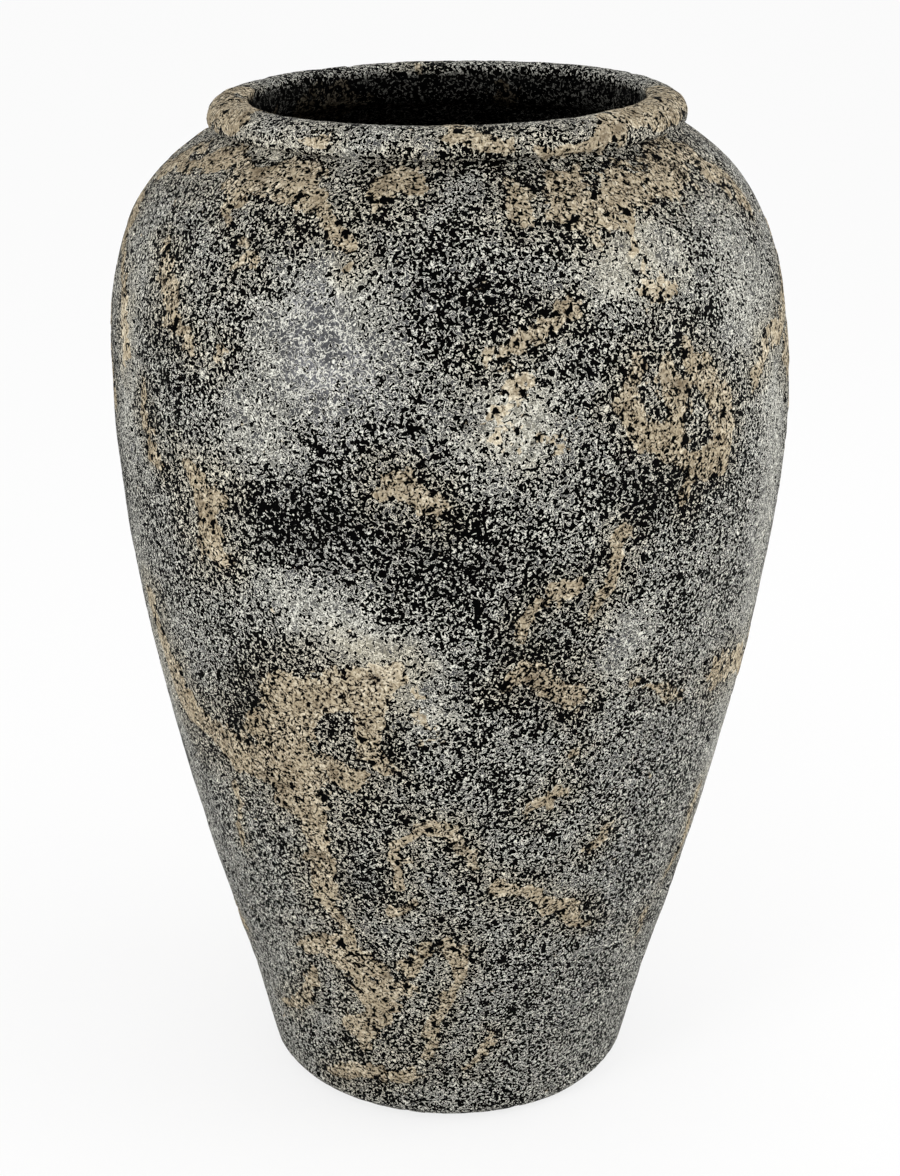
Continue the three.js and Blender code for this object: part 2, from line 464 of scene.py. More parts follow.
OUTSIDE_CRUST = (
    # round the shoulder, under the roll
    Stroke(((-86, 520, 4), (-71, 535, 7), (-49, 536, 6), (-34, 534, 7), (-25, 526, 7), (-17, 514, 4)), 0.9),
    Stroke(((-49, 535, 5), (-40, 514, 3)), 0.7),
    Stroke(((-15, 503, 4),), 0.8),
    Stroke(((-13, 533, 6), (-9, 535, 6)), 1.0),
    Stroke(((13, 532, 7),), 1.0),
    Stroke(((26, 535, 5),), 0.9),
    Stroke(((21, 529, 9), (28, 523, 12), (41, 531, 9), (61, 536, 8), (70, 526, 8), (73, 508, 5)), 0.72),
    Stroke(((35, 524, 5), (33, 506, 3)), 0.75),
    # down the left of the belly
    Stroke(((-58, 498, 5), (-51, 475, 9), (-46, 462, 5), (-45, 455, 3)), 0.85),
    Stroke(((-35, 505, 4), (-38, 489, 3)), 0.6),
    Stroke(((-39, 453, 5),), 0.65),
    Stroke(((-57, 423, 4), (-56, 403, 5), (-52, 391, 4)), 0.75),
    Stroke(((-44, 396, 6), (-41, 383, 11), (-42, 361, 9)), 1.0),
    # the middle and the lacy ring on the right
    Stroke(((6, 467, 5), (13, 476, 6), (21, 483, 3)), 0.62),
    Stroke(((10, 454, 11), (7, 427, 11), (15, 426, 9)), 0.38),
    Stroke(((30, 456, 5), (28, 442, 6), (32, 419, 7), (40, 404, 7), (47, 410, 7)), 0.85),
    Stroke(((47, 410, 7), (47, 430, 6), (40, 458, 5)), 0.85),
    Stroke(((35, 450, 7), (39, 438, 9), (37, 420, 9)), 0.75),
    Stroke(((45, 400, 5), (41, 394, 3), (39, 380, 3)), 0.9),
    Stroke(((36, 490, 12),), 0.5),
    Stroke(((-9, 404, 5), (-6, 403, 6), (-3, 391, 5)), 1.0),
    Stroke(((20, 348, 3), (14, 344, 4), (11, 324, 3)), 0.8),
    Stroke(((28, 374, 4), (25, 356, 5), (23, 338, 4)), 0.85),
    Stroke(((11, 301, 6), (15, 305, 7), (21, 293, 8)), 1.0),
    # the largest crust, with its arm up the left and its leg down
    Stroke(((-65, 305, 6), (-64, 277, 9), (-58, 251, 11), (-46, 240, 13), (-36, 236, 12)), 1.2),
    Stroke(((-26, 284, 13), (-31, 258, 18), (-29, 227, 16), (-27, 211, 8)), 1.25),
    Stroke(((-26, 283, 11), (-17, 295, 10), (-10, 305, 6)), 1.1),
    Stroke(((-12, 296, 7), (-14, 283, 8), (-13, 264, 8), (-11, 247, 6)), 1.0),
    Stroke(((-22, 241, 9), (-17, 241, 8)), 1.0),
    Stroke(((-7, 297, 7), (-3, 279, 11)), 0.3),
    Stroke(((-46, 212, 3), (-50, 176, 2)), 0.7),
    Stroke(((-27, 206, 7), (-28, 176, 7), (-25, 140, 5)), 1.15),
    # over the foot
    Stroke(((-24, 131, 7), (-22, 99, 7), (-20, 77, 5), (-22, 50, 6)), 1.0),
    Stroke(((-33, 121, 9), (-22, 112, 13), (-15, 99, 10)), 0.75),
    Stroke(((-17, 86, 9), (-24, 64, 8)), 0.75),
    Stroke(((-34, 24, 6), (-23, 28, 7), (-11, 39, 7)), 0.85),
    Stroke(((-6, 50, 4), (-2, 83, 4), (2, 121, 4), (0, 138, 5)), 0.9),
    Stroke(((-13, 116, 6), (-4, 132, 4)), 0.6),
    Stroke(((-9, 173, 4), (-9, 196, 4), (-7, 214, 4), (1, 216, 4), (4, 188, 4)), 0.95),
    Stroke(((8, 176, 5), (16, 169, 6), (24, 148, 6), (32, 138, 4)), 1.0),
    Stroke(((-12, 156, 4), (-6, 161, 3)), 0.8),
    Stroke(((20, 233, 5), (15, 222, 4)), 0.72),
    Stroke(((32, 203, 3), (27, 190, 4)), 0.66),
    Stroke(((22, 254, 4),), 0.7),
    Stroke(((67, 192, 4), (66, 165, 5), (61, 142, 5)), 0.9),
    Stroke(((53, 125, 4), (54, 103, 3)), 0.65),
    Stroke(((-37, 98, 4), (-41, 76, 6), (-54, 56, 3)), 0.8),
    Stroke(((11, 61, 5), (7, 44, 5)), 0.65),
    Stroke(((45, 279, 6), (32, 288, 4)), 0.5),
    # on the roll
    Stroke(((-1, 550, 4), (5, 554, 7), (12, 550, 5)), 0.9),
    Stroke(((21, 550, 4), (35, 550, 5), (49, 556, 6), (65, 558, 7), (90, 556, 8)), 0.85),
    Stroke(((-100, 557, 8), (-73, 557, 9), (-58, 556, 7)), 0.95),
    Stroke(((-36, 556, 4), (-28, 556, 4)), 0.6),
)

CRUST_HOLES = (
    Patch(-21, 268, 7, 7, 0.6),
    Patch(-19, 254, 5, 5, 0.5),
)

OUTSIDE_SOOT_AND_SHADE = (
    Patch(-21, 382, 42, 22, 0.8),
    Patch(-1, 367, 34, 24, 0.75),
    Patch(36, 389, 40, 18, 0.7),
    Patch(-38, 270, 18, 34, 1.0),
    Patch(-10, 250, 9, 18, 0.9),
    Patch(-18, 173, 15, 16, 0.6),
    Patch(4, 490, 26, 14, 0.7),
    Patch(3, 441, 10, 10, 0.9),
    Patch(15, 307, 40, 36, 0.45),
    # the next three bars are painted shade in the crease under the rolled rim
    Patch(10, 541, 60, 7, 0.5),
    Patch(-40, 541, 40, 5, 0.6),
    Patch(50, 541, 40, 5, 0.6),
    Patch(12, 356, 34, 20, 0.5, tilt=20),
    Patch(-52, 440, 20, 30, 0.5),
)

# Polished patches. The first two, on the upper left belly, are a painted highlight; the tall ones near 66
# and 68 degrees each side are a painted reflection along the sides.
OUTSIDE_POLISH_AND_HIGHLIGHT = (
    Patch(-19, 468, 36, 36, 1.0),
    Patch(-30, 425, 26, 22, 0.6),
    Patch(9, 434, 27, 24, 0.95),
    Patch(33, 500, 32, 16, 0.8),
    Patch(-18, 326, 48, 16, 0.8, tilt=-28),
    Patch(-5, 292, 26, 14, 0.6, tilt=-30),
    Patch(29, 316, 18, 22, 0.6),
    Patch(58, 480, 22, 40, 0.6),
    Patch(-66, 440, 16, 60, 0.5),
    Patch(66, 380, 20, 90, 0.6),
    Patch(-68, 250, 14, 90, 0.4),
    Patch(-32, 550, 66, 9, 0.5),
    Patch(34, 552, 66, 9, 0.3),
    Patch(68, 300, 18, 90, 0.4),
)

OUTSIDE_CHILL = (
    Stroke(((-21, 480, 24), (-15, 440, 42), (-14, 400, 34), (-20, 372, 26)), 1.0),
    Stroke(((-6, 470, 16), (0, 505, 12)), 0.7),
    Stroke(((42, 262, 12), (40, 210, 16), (38, 140, 14), (34, 70, 10)), 0.9),
    Stroke(((-22, 176, 12),), 0.8),
    Stroke(((58, 330, 16), (62, 380, 14)), 0.6),
    Stroke(((-40, 290, 9), (-36, 262, 8)), 0.6),
    Stroke(((-62, 180, 10), (-60, 120, 8)), 0.6),
    Stroke(((33, 400, 9), (32, 375, 9)), 0.6),
)

MOUTH_CRUST = (
    Patch(-142, 540, 26, 10, 0.8),
    Patch(-120, 538, 16, 8, 0.7),
    Patch(165, 536, 10, 12, 0.55),
)


@dataclass(frozen=True)
class SmearScatter:
    """Smears for the sides that the front list leaves open, placed by a seeded draw."""

    seed: int
    count: int
    clear_half_angle: float
    heights: tuple[float, float]
    step: float
    strengths: tuple[float, float]
    half_widths: tuple[float, float] = (14.0, 34.0)
    longest: int = 2
    heading_spread: float = 1.2
    turning: float = 0.7
    degrees_per_step: float = 0.4

    def draw(self) -> list[Stroke]:
        """Draw the smears, each a path that wanders mostly up or down the jar.

        Returns:
            The smears.
        """
        dice = np.random.default_rng(self.seed)
        found = []
        for _ in range(self.count):
            azimuth = dice.uniform(self.clear_half_angle, 360.0 - self.clear_half_angle)
            height = dice.uniform(*self.heights)
            heading = dice.uniform(-self.heading_spread, self.heading_spread)
            strength = dice.uniform(*self.strengths)
            path = []
            for _ in range(int(dice.integers(1, self.longest + 1))):
                path.append((azimuth, height, dice.uniform(*self.half_widths)))
                azimuth += self.step * self.degrees_per_step * math.sin(heading)
                height -= self.step * math.cos(heading)
                heading += dice.normal(0.0, self.turning)
            found.append(Stroke(tuple(path), strength))
        return found


CRUST_SCATTER = SmearScatter(
    seed=7,
    count=80,
    clear_half_angle=80.0,
    heights=(40.0, 552.0),
    step=24.0,
    strengths=(0.6, 1.1),
    half_widths=(4.0, 11.0),
    longest=4,
)

SOOT_SCATTER = SmearScatter(
    seed=8, count=26, clear_half_angle=74.0, heights=(30.0, 545.0), step=20.0, strengths=(0.4, 0.9)
)

POLISH_SCATTER = SmearScatter(
    seed=9, count=22, clear_half_angle=80.0, heights=(40.0, 520.0), step=22.0, strengths=(0.5, 1.0)
)

CHILL_SCATTER = SmearScatter(
    seed=10,
    count=16,
    clear_half_angle=84.0,
    heights=(60.0, 500.0),
    step=40.0,
    strengths=(0.6, 1.0),
    longest=3,
)


class ClayNoise:
    """Smooth random bumps in space, the same for every section of the jar."""

    LAYER_SHIFT = 11.7

    def __init__(self, seed: int, cells: int = 32) -> None:
        """Fill a block of random values that repeats in every direction.

        Args:
            seed: Where the random draw starts.
            cells: How many values the block has along each side.
        """
        self.cells = cells
        self.values = np.random.default_rng(seed).uniform(-1.0, 1.0, (cells, cells, cells))

    def at(self, points: Points, cell: float) -> Points:
        """Read the noise.

        Args:
            points: Rows of x, y and z, in metres.
            cell: The distance between two random values, in metres.

        Returns:
            One value for each point, between -1 and 1.
        """
        place = points / cell
        low = np.floor(place).astype(np.int64)
        share = place - low
        share = share**3 * (share * (share * 6.0 - 15.0) + 10.0)
        total = np.zeros(len(points))
        for corner in itertools.product((0, 1), repeat=3):
            index = (low + np.array(corner)) % self.cells
            weight = np.prod(np.where(np.array(corner) == 1, share, 1.0 - share), axis=1)
            total += weight * self.values[index[:, 0], index[:, 1], index[:, 2]]
        return total

    def layered(self, points: Points, cell: float, layers: int) -> Points:
        """Add up finer and finer bumps, each layer half as large and half as strong.

        Args:
            points: Rows of x, y and z, in metres.
            cell: The cell of the largest bumps, in metres.
            layers: How many layers there are.

        Returns:
            One value for each point.
        """
        total = np.zeros(len(points))
        for layer in range(layers):
            shift = self.LAYER_SHIFT * (layer + 1) * cell
            total += self.at(points + shift, cell / 2**layer) / 2**layer
        return total


@dataclass(frozen=True)
class ClayRelief:
    """How far the hand-built clay stands off its drawn outline, in metres."""

    sway: float = 0.0007
    sway_cell: float = 0.085
    dent: float = 0.0003
    dent_cell: float = 0.028
    grain: float = 0.00016
    grain_cell: float = 0.006
    grain_layers: int = 2
    crust_rise: float = 0.00045
    crust_wave: float = 0.35
    crust_wave_cell: float = 0.012
    wave_layers: int = 3
    crust_edge: tuple[float, float] = (0.45, 0.60)
    pit_depth: float = 0.0009
    pit_cell: float = 0.0062
    pit_edge: tuple[float, float] = (0.52, 0.85)
    drawn_in: float = 0.0003
    neck_drift: float = -0.0015
    belly_drift: float = 0.0009
    foot_drift: float = -0.0008
    rim_tilt: float = 0.0014
    rim_high_turn: float = 95.0
    neck_reach: tuple[float, float] = (0.40, 0.50)
    belly_reach: tuple[float, float] = (0.28, 0.36)
    over_belly: tuple[float, float] = (0.39, 0.46)
    foot_reach: tuple[float, float] = (0.02, 0.09)
    tilt_reach: tuple[float, float] = (0.47, 0.55)
    dent_place: float = 0.31
    grain_place: float = 0.57
    pit_place: float = 0.83

    def depth(self, points: Points, crust: Points, noise: ClayNoise) -> Points:
        """Say how far each point moves out from the outline.

        Args:
            points: Rows of x, y and z on the drawn outline.
            crust: How much crust lies at each point, from 0 to 1.
            noise: The clay's bumps.

        Returns:
            One distance for each point, mostly negative, so that the jar keeps its box.
        """
        large = self.sway * noise.at(points, self.sway_cell)
        middle = self.dent * noise.at(points + self.dent_place, self.dent_cell)
        fine = self.grain * noise.layered(points + self.grain_place, self.grain_cell, self.grain_layers)
        waved = crust + self.crust_wave * noise.layered(points, self.crust_wave_cell, self.wave_layers)
        crusted = self.crust_rise * faded(waved, *self.crust_edge)
        pitted = self.pit_depth * faded(noise.at(points + self.pit_place, self.pit_cell), *self.pit_edge)
        return large + middle + fine + crusted - pitted - self.drawn_in

    def settle(self, points: Points, turn: Points) -> Points:
        """Let the jar's axis wander and its rim dip, as a hand-built jar's do.

        Args:
            points: Rows of x, y and z.
            turn: The points' azimuths, in radians.

        Returns:
            The moved points.
        """
        height = points[:, 2]
        neck = faded(height, *self.neck_reach)
        belly = faded(height, *self.belly_reach) * (1.0 - faded(height, *self.over_belly))
        foot = 1.0 - faded(height, *self.foot_reach)
        aside = self.neck_drift * neck + self.belly_drift * belly + self.foot_drift * foot
        rise = self.rim_tilt * np.cos(turn - math.radians(self.rim_high_turn))
        moved = points.copy()
        moved[:, 0] += aside
        moved[:, 2] += rise * faded(height, *self.tilt_reach)
        return moved


@dataclass
class JarSkin:
    """The whole visible surface of the clay, as rows of points round the jar."""

    outline: JarOutline = field(default_factory=JarOutline)
    relief: ClayRelief = field(default_factory=ClayRelief)
    columns: int = 640
    outside_spacing: float = 0.0020
    roll_spacing: float = 0.0015
    inside_spacing: float = 0.0040
    lip_rows: tuple[float, float] = (0.5, 4.0)
    ground_rows: float = 6.0
    hole_rows: float = 5.0
    stray: float = 0.006
    stray_cell: float = 0.020
    stray_layers: int = 3
    stray_places: tuple[float, float] = (0.13, 0.71)
    least_radius: float = 0.05
    hole_depth: float = 1.5
    wash_spread: float = 2.0
    wash_margin: float = 7.0
    depth_reach: tuple[float, float] = (0.44, 0.24)
    depth_share: float = 0.80
    seed: int = 41

    def __post_init__(self) -> None:
        """Trace the profile, then raise the relief and lay out the tones on it."""
        self.turn = np.arange(self.columns) / self.columns * FULL_TURN - math.pi
        self.marks: dict[Landmark, int] = {}
        self.profile = self._trace()
        self.noise = ClayNoise(self.seed)
        self.tones: dict[Tone, Points] = {}
        self._cover()

    def _trace(self) -> Points:
        """Trace the profile from landmark to landmark, with a row exactly at each.

        Returns:
            Rows of radius and height.
        """
        o = self.outline
        outside, inside, fillet = o.outside(), o.inside(), o.fillet()
        lower, upper, collar = (seam + o.lap_rise for seam in (o.lower_seam, o.upper_seam, o.collar_seam))
        rim = np.vstack([stretch(outside, o.collar_seam, o.neck_height)[:-1], o.roll()])
        throat = np.vstack([o.throat(), stretch(inside, collar, o.neck_height)[:1]])
        lower_inside = stretch(inside, fillet[0, 1], lower)[::-1]
        floor = np.array([fillet[-1], [o.hole_radius, o.floor_height]])
        wide, fine, coarse = self.outside_spacing, self.roll_spacing, self.inside_spacing
        runs = [
            (Landmark.RING_TOP, stretch(outside, 0.0, o.ring_height), wide),
            (Landmark.FLOOR_SEAM, stretch(outside, o.ring_height, o.floor_seam), wide),
            (Landmark.LOWER_SEAM, stretch(outside, o.floor_seam, o.lower_seam), wide),
            (Landmark.UPPER_SEAM, stretch(outside, o.lower_seam, o.upper_seam), wide),
            (Landmark.COLLAR_SEAM, stretch(outside, o.upper_seam, o.collar_seam), wide),
            (Landmark.LIP, rim, fine),
            (Landmark.COLLAR_INSIDE, throat, fine),
            (Landmark.UPPER_INSIDE, stretch(inside, upper, collar)[::-1], coarse),
            (Landmark.LOWER_INSIDE, stretch(inside, lower, upper)[::-1], coarse),
            (Landmark.FLOOR_EDGE, np.vstack([lower_inside[:-1], fillet]), coarse),
            (Landmark.HOLE_EDGE, floor, coarse),
        ]
        profile = [runs[0][1][0]]
        self.marks[Landmark.GROUND] = 0
        for mark, line, spacing in runs:
            profile.extend(spaced(line, spacing)[1:])
            self.marks[mark] = len(profile) - 1
        return np.array(profile)

    def _ways_out(self) -> Points:
        """Find each row's direction out of the clay.

        Returns:
            Rows of radius and height, one long.
        """
        along = np.gradient(self.profile, axis=0)
        along /= np.linalg.norm(along, axis=1)[:, None]
        return np.column_stack([along[:, 1], -along[:, 0]])

    def _cover(self) -> None:
        """Work out the tones, raise the relief and find the surface's directions."""
        rows = len(self.profile)
        turn = np.tile(self.turn, rows)
        radius = np.repeat(self.profile[:, 0], self.columns)
        height = np.repeat(self.profile[:, 1], self.columns)
        flat = np.column_stack([radius * np.sin(turn), -radius * np.cos(turn), height])
        lip = self.marks[Landmark.LIP]
        within = faded(np.arange(rows) - lip, *self.lip_rows)
        inside = np.repeat(within, self.columns)
        self.tones = self._tones(flat, turn, inside)

        out = self._ways_out()
        first_rows = faded(np.arange(rows), 0.0, self.ground_rows)
        last_rows = faded(rows - 1.0 - np.arange(rows), 0.0, self.hole_rows)
        level = np.repeat(first_rows * last_rows, self.columns)
        depth = self.relief.depth(flat, self.tones[Tone.CRUST], self.noise) * level
        out_radius = np.repeat(out[:, 0], self.columns)
        out_height = np.repeat(out[:, 1], self.columns)
        raised = flat.copy()
        raised[:, 0] += depth * out_radius * np.sin(turn)
        raised[:, 1] -= depth * out_radius * np.cos(turn)
        raised[:, 2] += depth * out_height
        settled = self.relief.settle(raised, turn)
        self.points = settled.reshape(rows, self.columns, 3)
        self.normals = self._normals()
        self.tones = {name: tone.reshape(rows, self.columns) for name, tone in self.tones.items()}

    def _tones(self, flat: Points, turn: Points, inside: Points) -> dict[Tone, Points]:
        """Lay every tone on the skin.

        Args:
            flat: The skin's points on the drawn outline.
            turn: Their azimuths, in radians.
            inside: How far each point lies inside the mouth, from 0 to 1.

        Returns:
            Each tone's strength at every point.
        """
        radius = np.hypot(flat[:, 0], flat[:, 1])
        height = flat[:, 2]
        aside, up = self.stray_places
        wander = self.stray * self.noise.layered(flat + aside, self.stray_cell, self.stray_layers)
        climb = self.stray * self.noise.layered(flat + up, self.stray_cell, self.stray_layers)
        face = Face(turn + wander / np.maximum(radius, self.least_radius), height + climb, radius)
        crusts = [*OUTSIDE_CRUST, *CRUST_SCATTER.draw()]
        crust = self._laid(crusts, face)
        for hole in CRUST_HOLES:
            crust = crust - self.hole_depth * hole.weight(face)
        washes = [stroke.widened(self.wash_spread, self.wash_margin) for stroke in crusts]
        mouth = self._laid(MOUTH_CRUST, face)
        deep = self.depth_share * faded(height, *self.depth_reach)
        outside = 1.0 - inside
        return {
            Tone.CRUST: np.clip(crust * outside + mouth * inside, 0.0, 1.0),
            Tone.WASH: self._laid(washes, face) * outside,
            Tone.CHILL: self._laid([*OUTSIDE_CHILL, *CHILL_SCATTER.draw()], face) * outside,
            Tone.SOOT_AND_SHADE: self._laid([*OUTSIDE_SOOT_AND_SHADE, *SOOT_SCATTER.draw()], face) * outside,
            Tone.POLISH_AND_HIGHLIGHT: self._laid([*OUTSIDE_POLISH_AND_HIGHLIGHT, *POLISH_SCATTER.draw()], face) * outside,
            Tone.INSIDE: inside * (1.0 - deep),
        }

    @staticmethod
    def _laid(smears: Iterable[Patch | Stroke], face: Face) -> Points:
        """Lay patches and strokes on the skin, the strongest on top.

        Args:
            smears: The patches and strokes.
            face: The points that they are laid on.

        Returns:
            The strength at each point.
        """
        total = np.zeros(len(face.turn))
        for smear in smears:
            total = np.maximum(total, smear.weight(face))
        return total

    def _normals(self) -> Points:
        """Find the direction out of the clay at every point of the raised skin.

        Returns:
            The directions, one long.
        """
        round_it = np.roll(self.points, -1, axis=1) - np.roll(self.points, 1, axis=1)
        up_it = np.gradient(self.points, axis=0)
        across = np.cross(round_it, up_it)
        return across / np.linalg.norm(across, axis=2)[:, :, None]

    def between(self, first: Landmark, last: Landmark) -> slice:
        """Give the rows from one landmark to another, with both of them."""
        return slice(self.marks[first], self.marks[last] + 1)


@dataclass
class BakeStrip:
    """A run of rows with its place on the map that the colours are kept on."""

    rows: Points
    normals: Points | None
    tones: dict[Tone, Points]
    breadths: int
    share: float


class ClayRing:
    """A closed ring of clay on the bench: runs of rows, each row joined to the next."""

    # the flat faces under the jar, in the drain hole and between the sections are darkened: painted shade
    PLAIN_SHADE_TONES = {Tone.SOOT_AND_SHADE: 0.3, Tone.INSIDE: 0.65}
    PLAIN_SHARE = 0.02
    MAP_GAP = 0.006
    GAP_SHARE = 0.2
    LEAST_LENGTH = 1e-12

    def __init__(self, skin: JarSkin) -> None:
        """Start with no rows.

        Args:
            skin: The jar's skin, which the visible rows come from.
        """
        self.skin = skin
        self.strips: list[BakeStrip] = []

    def add_skin(self, first: Landmark, last: Landmark, breadths: int, share: float) -> "ClayRing":
        """Add the skin's rows between two landmarks.

        Args:
            first: Where the rows start.
            last: Where they end.
            breadths: How many breadths the run is cut into on the colour map.
            share: The share of the colour map's height that the run gets.

        Returns:
            The ring itself.
        """
        rows = self.skin.between(first, last)
        tones = {name: tone[rows] for name, tone in self.skin.tones.items()}
        points = self.skin.points[rows]
        self.strips.append(BakeStrip(points, self.skin.normals[rows], tones, breadths, share))
        return self

    def add_plain(self, *corners: tuple[float, float], spacing: float = 0.004) -> "ClayRing":
        """Add flat faces that run straight from corner to corner.

        Args:
            corners: Radius and height of each corner, in metres.
            spacing: The most that two rows may lie apart.

        Returns:
            The ring itself.
        """
        turn = self.skin.turn
        for first, last in zip(corners[:-1], corners[1:]):
            line = spaced(np.array([first, last]), spacing)
            radius = line[:, 0][:, None]
            x = radius * np.sin(turn)
            y = -radius * np.cos(turn)
            z = np.broadcast_to(line[:, 1][:, None], x.shape)
            flat = np.stack([x, y, z], axis=2)
            settled = self.skin.relief.settle(flat.reshape(-1, 3), np.tile(turn, len(line)))
            tones = {tone: np.full(x.shape, self.PLAIN_SHADE_TONES.get(tone, 0.0)) for tone in Tone}
            self.strips.append(BakeStrip(settled.reshape(flat.shape), None, tones, 1, self.PLAIN_SHARE))
        return self

    def build(self, name: str) -> bpy.types.Object:
        """Join the rows into one closed mesh.

        Args:
            name: The name of the piece.

        Returns:
            The new object, with its tones, its map and its own shading directions.
        """
        columns = self.skin.columns
        column = np.arange(columns)
        beside = (column + 1) % columns
        starts = np.cumsum([0] + [len(strip.rows) for strip in self.strips])
        points = np.concatenate([strip.rows for strip in self.strips]).reshape(-1, 3)
        total_share = sum(strip.share for strip in self.strips)
        faces, places = [], []
        floor = 0.0
        for first, strip in zip(starts, self.strips):
            low = (first + np.arange(len(strip.rows) - 1))[:, None] * columns
            high = low + columns
            quads = np.stack([low + column, low + beside, high + beside, high + column], axis=2)
            faces.append(quads.reshape(-1, 4))
            share = strip.share / total_share
            places.append(self._map_places(strip, floor, share))
            floor += share
        return self._mesh(name, points, faces, places, starts)

    def _map_places(self, strip: BakeStrip, floor: float, share: float) -> Points:
        """Lay a run of rows on the colour map, cut into breadths that lie above each other.

        Args:
            strip: The run of rows.
            floor: Where its part of the map starts.
            share: The height of its part of the map.

        Returns:
            The map place of every face corner.
        """
        columns = self.skin.columns
        count = len(strip.rows)
        steps = np.linalg.norm(np.diff(strip.rows[:, 0], axis=0), axis=1)
        run = np.concatenate([[0.0], np.cumsum(steps)])
        rise = run / run[-1]
        breadth = columns // strip.breadths
        column = np.arange(columns)
        number = column // breadth
        left = (column - number * breadth) / breadth
        right = left + 1.0 / breadth
        gap = self.MAP_GAP
        tall = share / strip.breadths
        u_low = gap + left * (1.0 - 2.0 * gap)
        u_high = gap + right * (1.0 - 2.0 * gap)
        v_gap = min(gap, self.GAP_SHARE * tall)
        v_base = floor + number * tall + v_gap
        v_size = tall - 2.0 * v_gap
        low = v_base[None, :] + rise[:-1, None] * v_size
        high = v_base[None, :] + rise[1:, None] * v_size
        u_low = np.broadcast_to(u_low, (count - 1, columns))
        u_high = np.broadcast_to(u_high, (count - 1, columns))
        corners = [(u_low, low), (u_high, low), (u_high, high), (u_low, high)]
        return np.stack([np.stack(pair, axis=2) for pair in corners], axis=2).reshape(-1, 4, 2)

    def _mesh(
        self,
        name: str,
        points: Points,
        faces: list[Points],
        places: list[Points],
        starts: Points,
    ) -> bpy.types.Object:
        """Turn the joined rows into a mesh object.

        Args:
            name: The name of the piece.
            points: All its points.
            faces: The faces of each run of rows.
            places: The map places of each run's face corners.
            starts: The number of each run's first row.

        Returns:
            The new object.
        """
        kept, index = self._welded(len(points), starts)
        quads = index[np.concatenate(faces)]
        mesh = bpy.data.meshes.new(name)
        mesh.from_pydata(points[kept].tolist(), [], quads.tolist())
        mesh.polygons.foreach_set("use_smooth", np.ones(len(quads), dtype=bool))
        chart = mesh.uv_layers.new(name="OFBake")
        chart.data.foreach_set("uv", np.concatenate(places).astype(np.float32).ravel())
        for tone in Tone:
            values = np.concatenate([strip.tones[tone].ravel() for strip in self.strips])
            attribute = mesh.attributes.new(tone.value, "FLOAT", "POINT")
            attribute.data.foreach_set("value", values[kept].astype(np.float32))
        mesh.normals_split_custom_set(self._corner_normals(points, faces, starts).tolist())
        piece = bpy.data.objects.new(name, mesh)
        bpy.context.scene.collection.objects.link(piece)
        return piece

    def _welded(self, count: int, starts: Points) -> tuple[Points, Points]:
        """Join the last row of each run to the first row of the next, and the end to the start.

        Where skin meets a flat face, the skin's own row stays.

        Args:
            count: How many points there are, run by run.
            starts: The number of each run's first row.

        Returns:
            The points that stay, and for each old point the place of the one that stands for it.
        """
        columns = self.skin.columns
        stands_for = np.arange(count)
        for number, first in enumerate(starts[1:], start=1):
            following = number % len(self.strips)
            last_row = (first - 1) * columns
            next_row = starts[following] * columns
            if self.strips[following].normals is None:
                last_row, next_row = next_row, last_row
            stands_for[last_row : last_row + columns] = np.arange(next_row, next_row + columns)
        kept = np.unique(stands_for)
        return kept, np.searchsorted(kept, stands_for)

    def _corner_normals(self, points: Points, faces: list[Points], starts: Points) -> Points:
        """Give every face corner its shading direction.

        Args:
            points: All the points, run by run.
            faces: The faces of each run.
            starts: The number of each run's first row.

        Returns:
            One direction for each face corner.
        """
        found = []
        for quads, strip, first in zip(faces, self.strips, starts):
            if strip.normals is None:
                across = points[quads[:, 2]] - points[quads[:, 0]]
                aslant = points[quads[:, 3]] - points[quads[:, 1]]
                out = np.cross(across, aslant)
                out /= np.maximum(np.linalg.norm(out, axis=1), self.LEAST_LENGTH)[:, None]
                found.append(np.repeat(out, 4, axis=0))
            else:
                flat = strip.normals.reshape(-1, 3)
                found.append(flat[quads.ravel() - first * self.skin.columns])
        return np.concatenate(found)


@dataclass(frozen=True)
class Speckle:
    """Cloudy noise: its largest spots in metres, how many finer layers lie on them, how strong."""

    cell: float
    layers: float = 2.0
    rough: float = 0.5


class NodeBench:
    """A bench on which the nodes of a material or of the room are joined."""

    def __init__(self, tree: bpy.types.NodeTree) -> None:
        """Clear the bench.

        Args:
            tree: The node tree to work in.
        """
        self.tree = tree
        self.tree.nodes.clear()

    def feed(self, socket: Socket, value: Value) -> None:
        """Join a value to a socket, or write it there when it is a plain number or colour.

        Args:
            socket: The socket.
            value: Another socket, a number or a colour.
        """
        if isinstance(value, bpy.types.NodeSocket):
            self.tree.links.new(value, socket)
        elif isinstance(value, tuple) and len(value) == 3 and socket.type == "RGBA":
            socket.default_value = (*value, 1.0)
        else:
            socket.default_value = value

    def add(self, kind: str, inputs: dict[str | int, Value], **settings: str) -> Node:
        """Add one node.

        Args:
            kind: Its kind, as Blender names it after "ShaderNode".
            inputs: What goes into its sockets.
            settings: Its other settings.

        Returns:
            The node.
        """
        node = self.tree.nodes.new("ShaderNode" + kind)
        for name, setting in settings.items():
            setattr(node, name, setting)
        for socket, value in inputs.items():
            self.feed(node.inputs[socket], value)
        return node

    def reckon(self, way: str, first: Socket | float, second: Socket | float = 0.0) -> Socket:
        """Work out one number from two, in the way that Blender's name for the sum says."""
        return self.add("Math", {0: first, 1: second}, operation=way).outputs["Value"]

    def seen(self) -> Socket:
        """Tell what the camera sees, straight or in a gloss, from what only lights the jar."""
        path = self.add("LightPath", {}).outputs
        return self.reckon("MAXIMUM", path["Is Camera Ray"], path["Is Glossy Ray"])


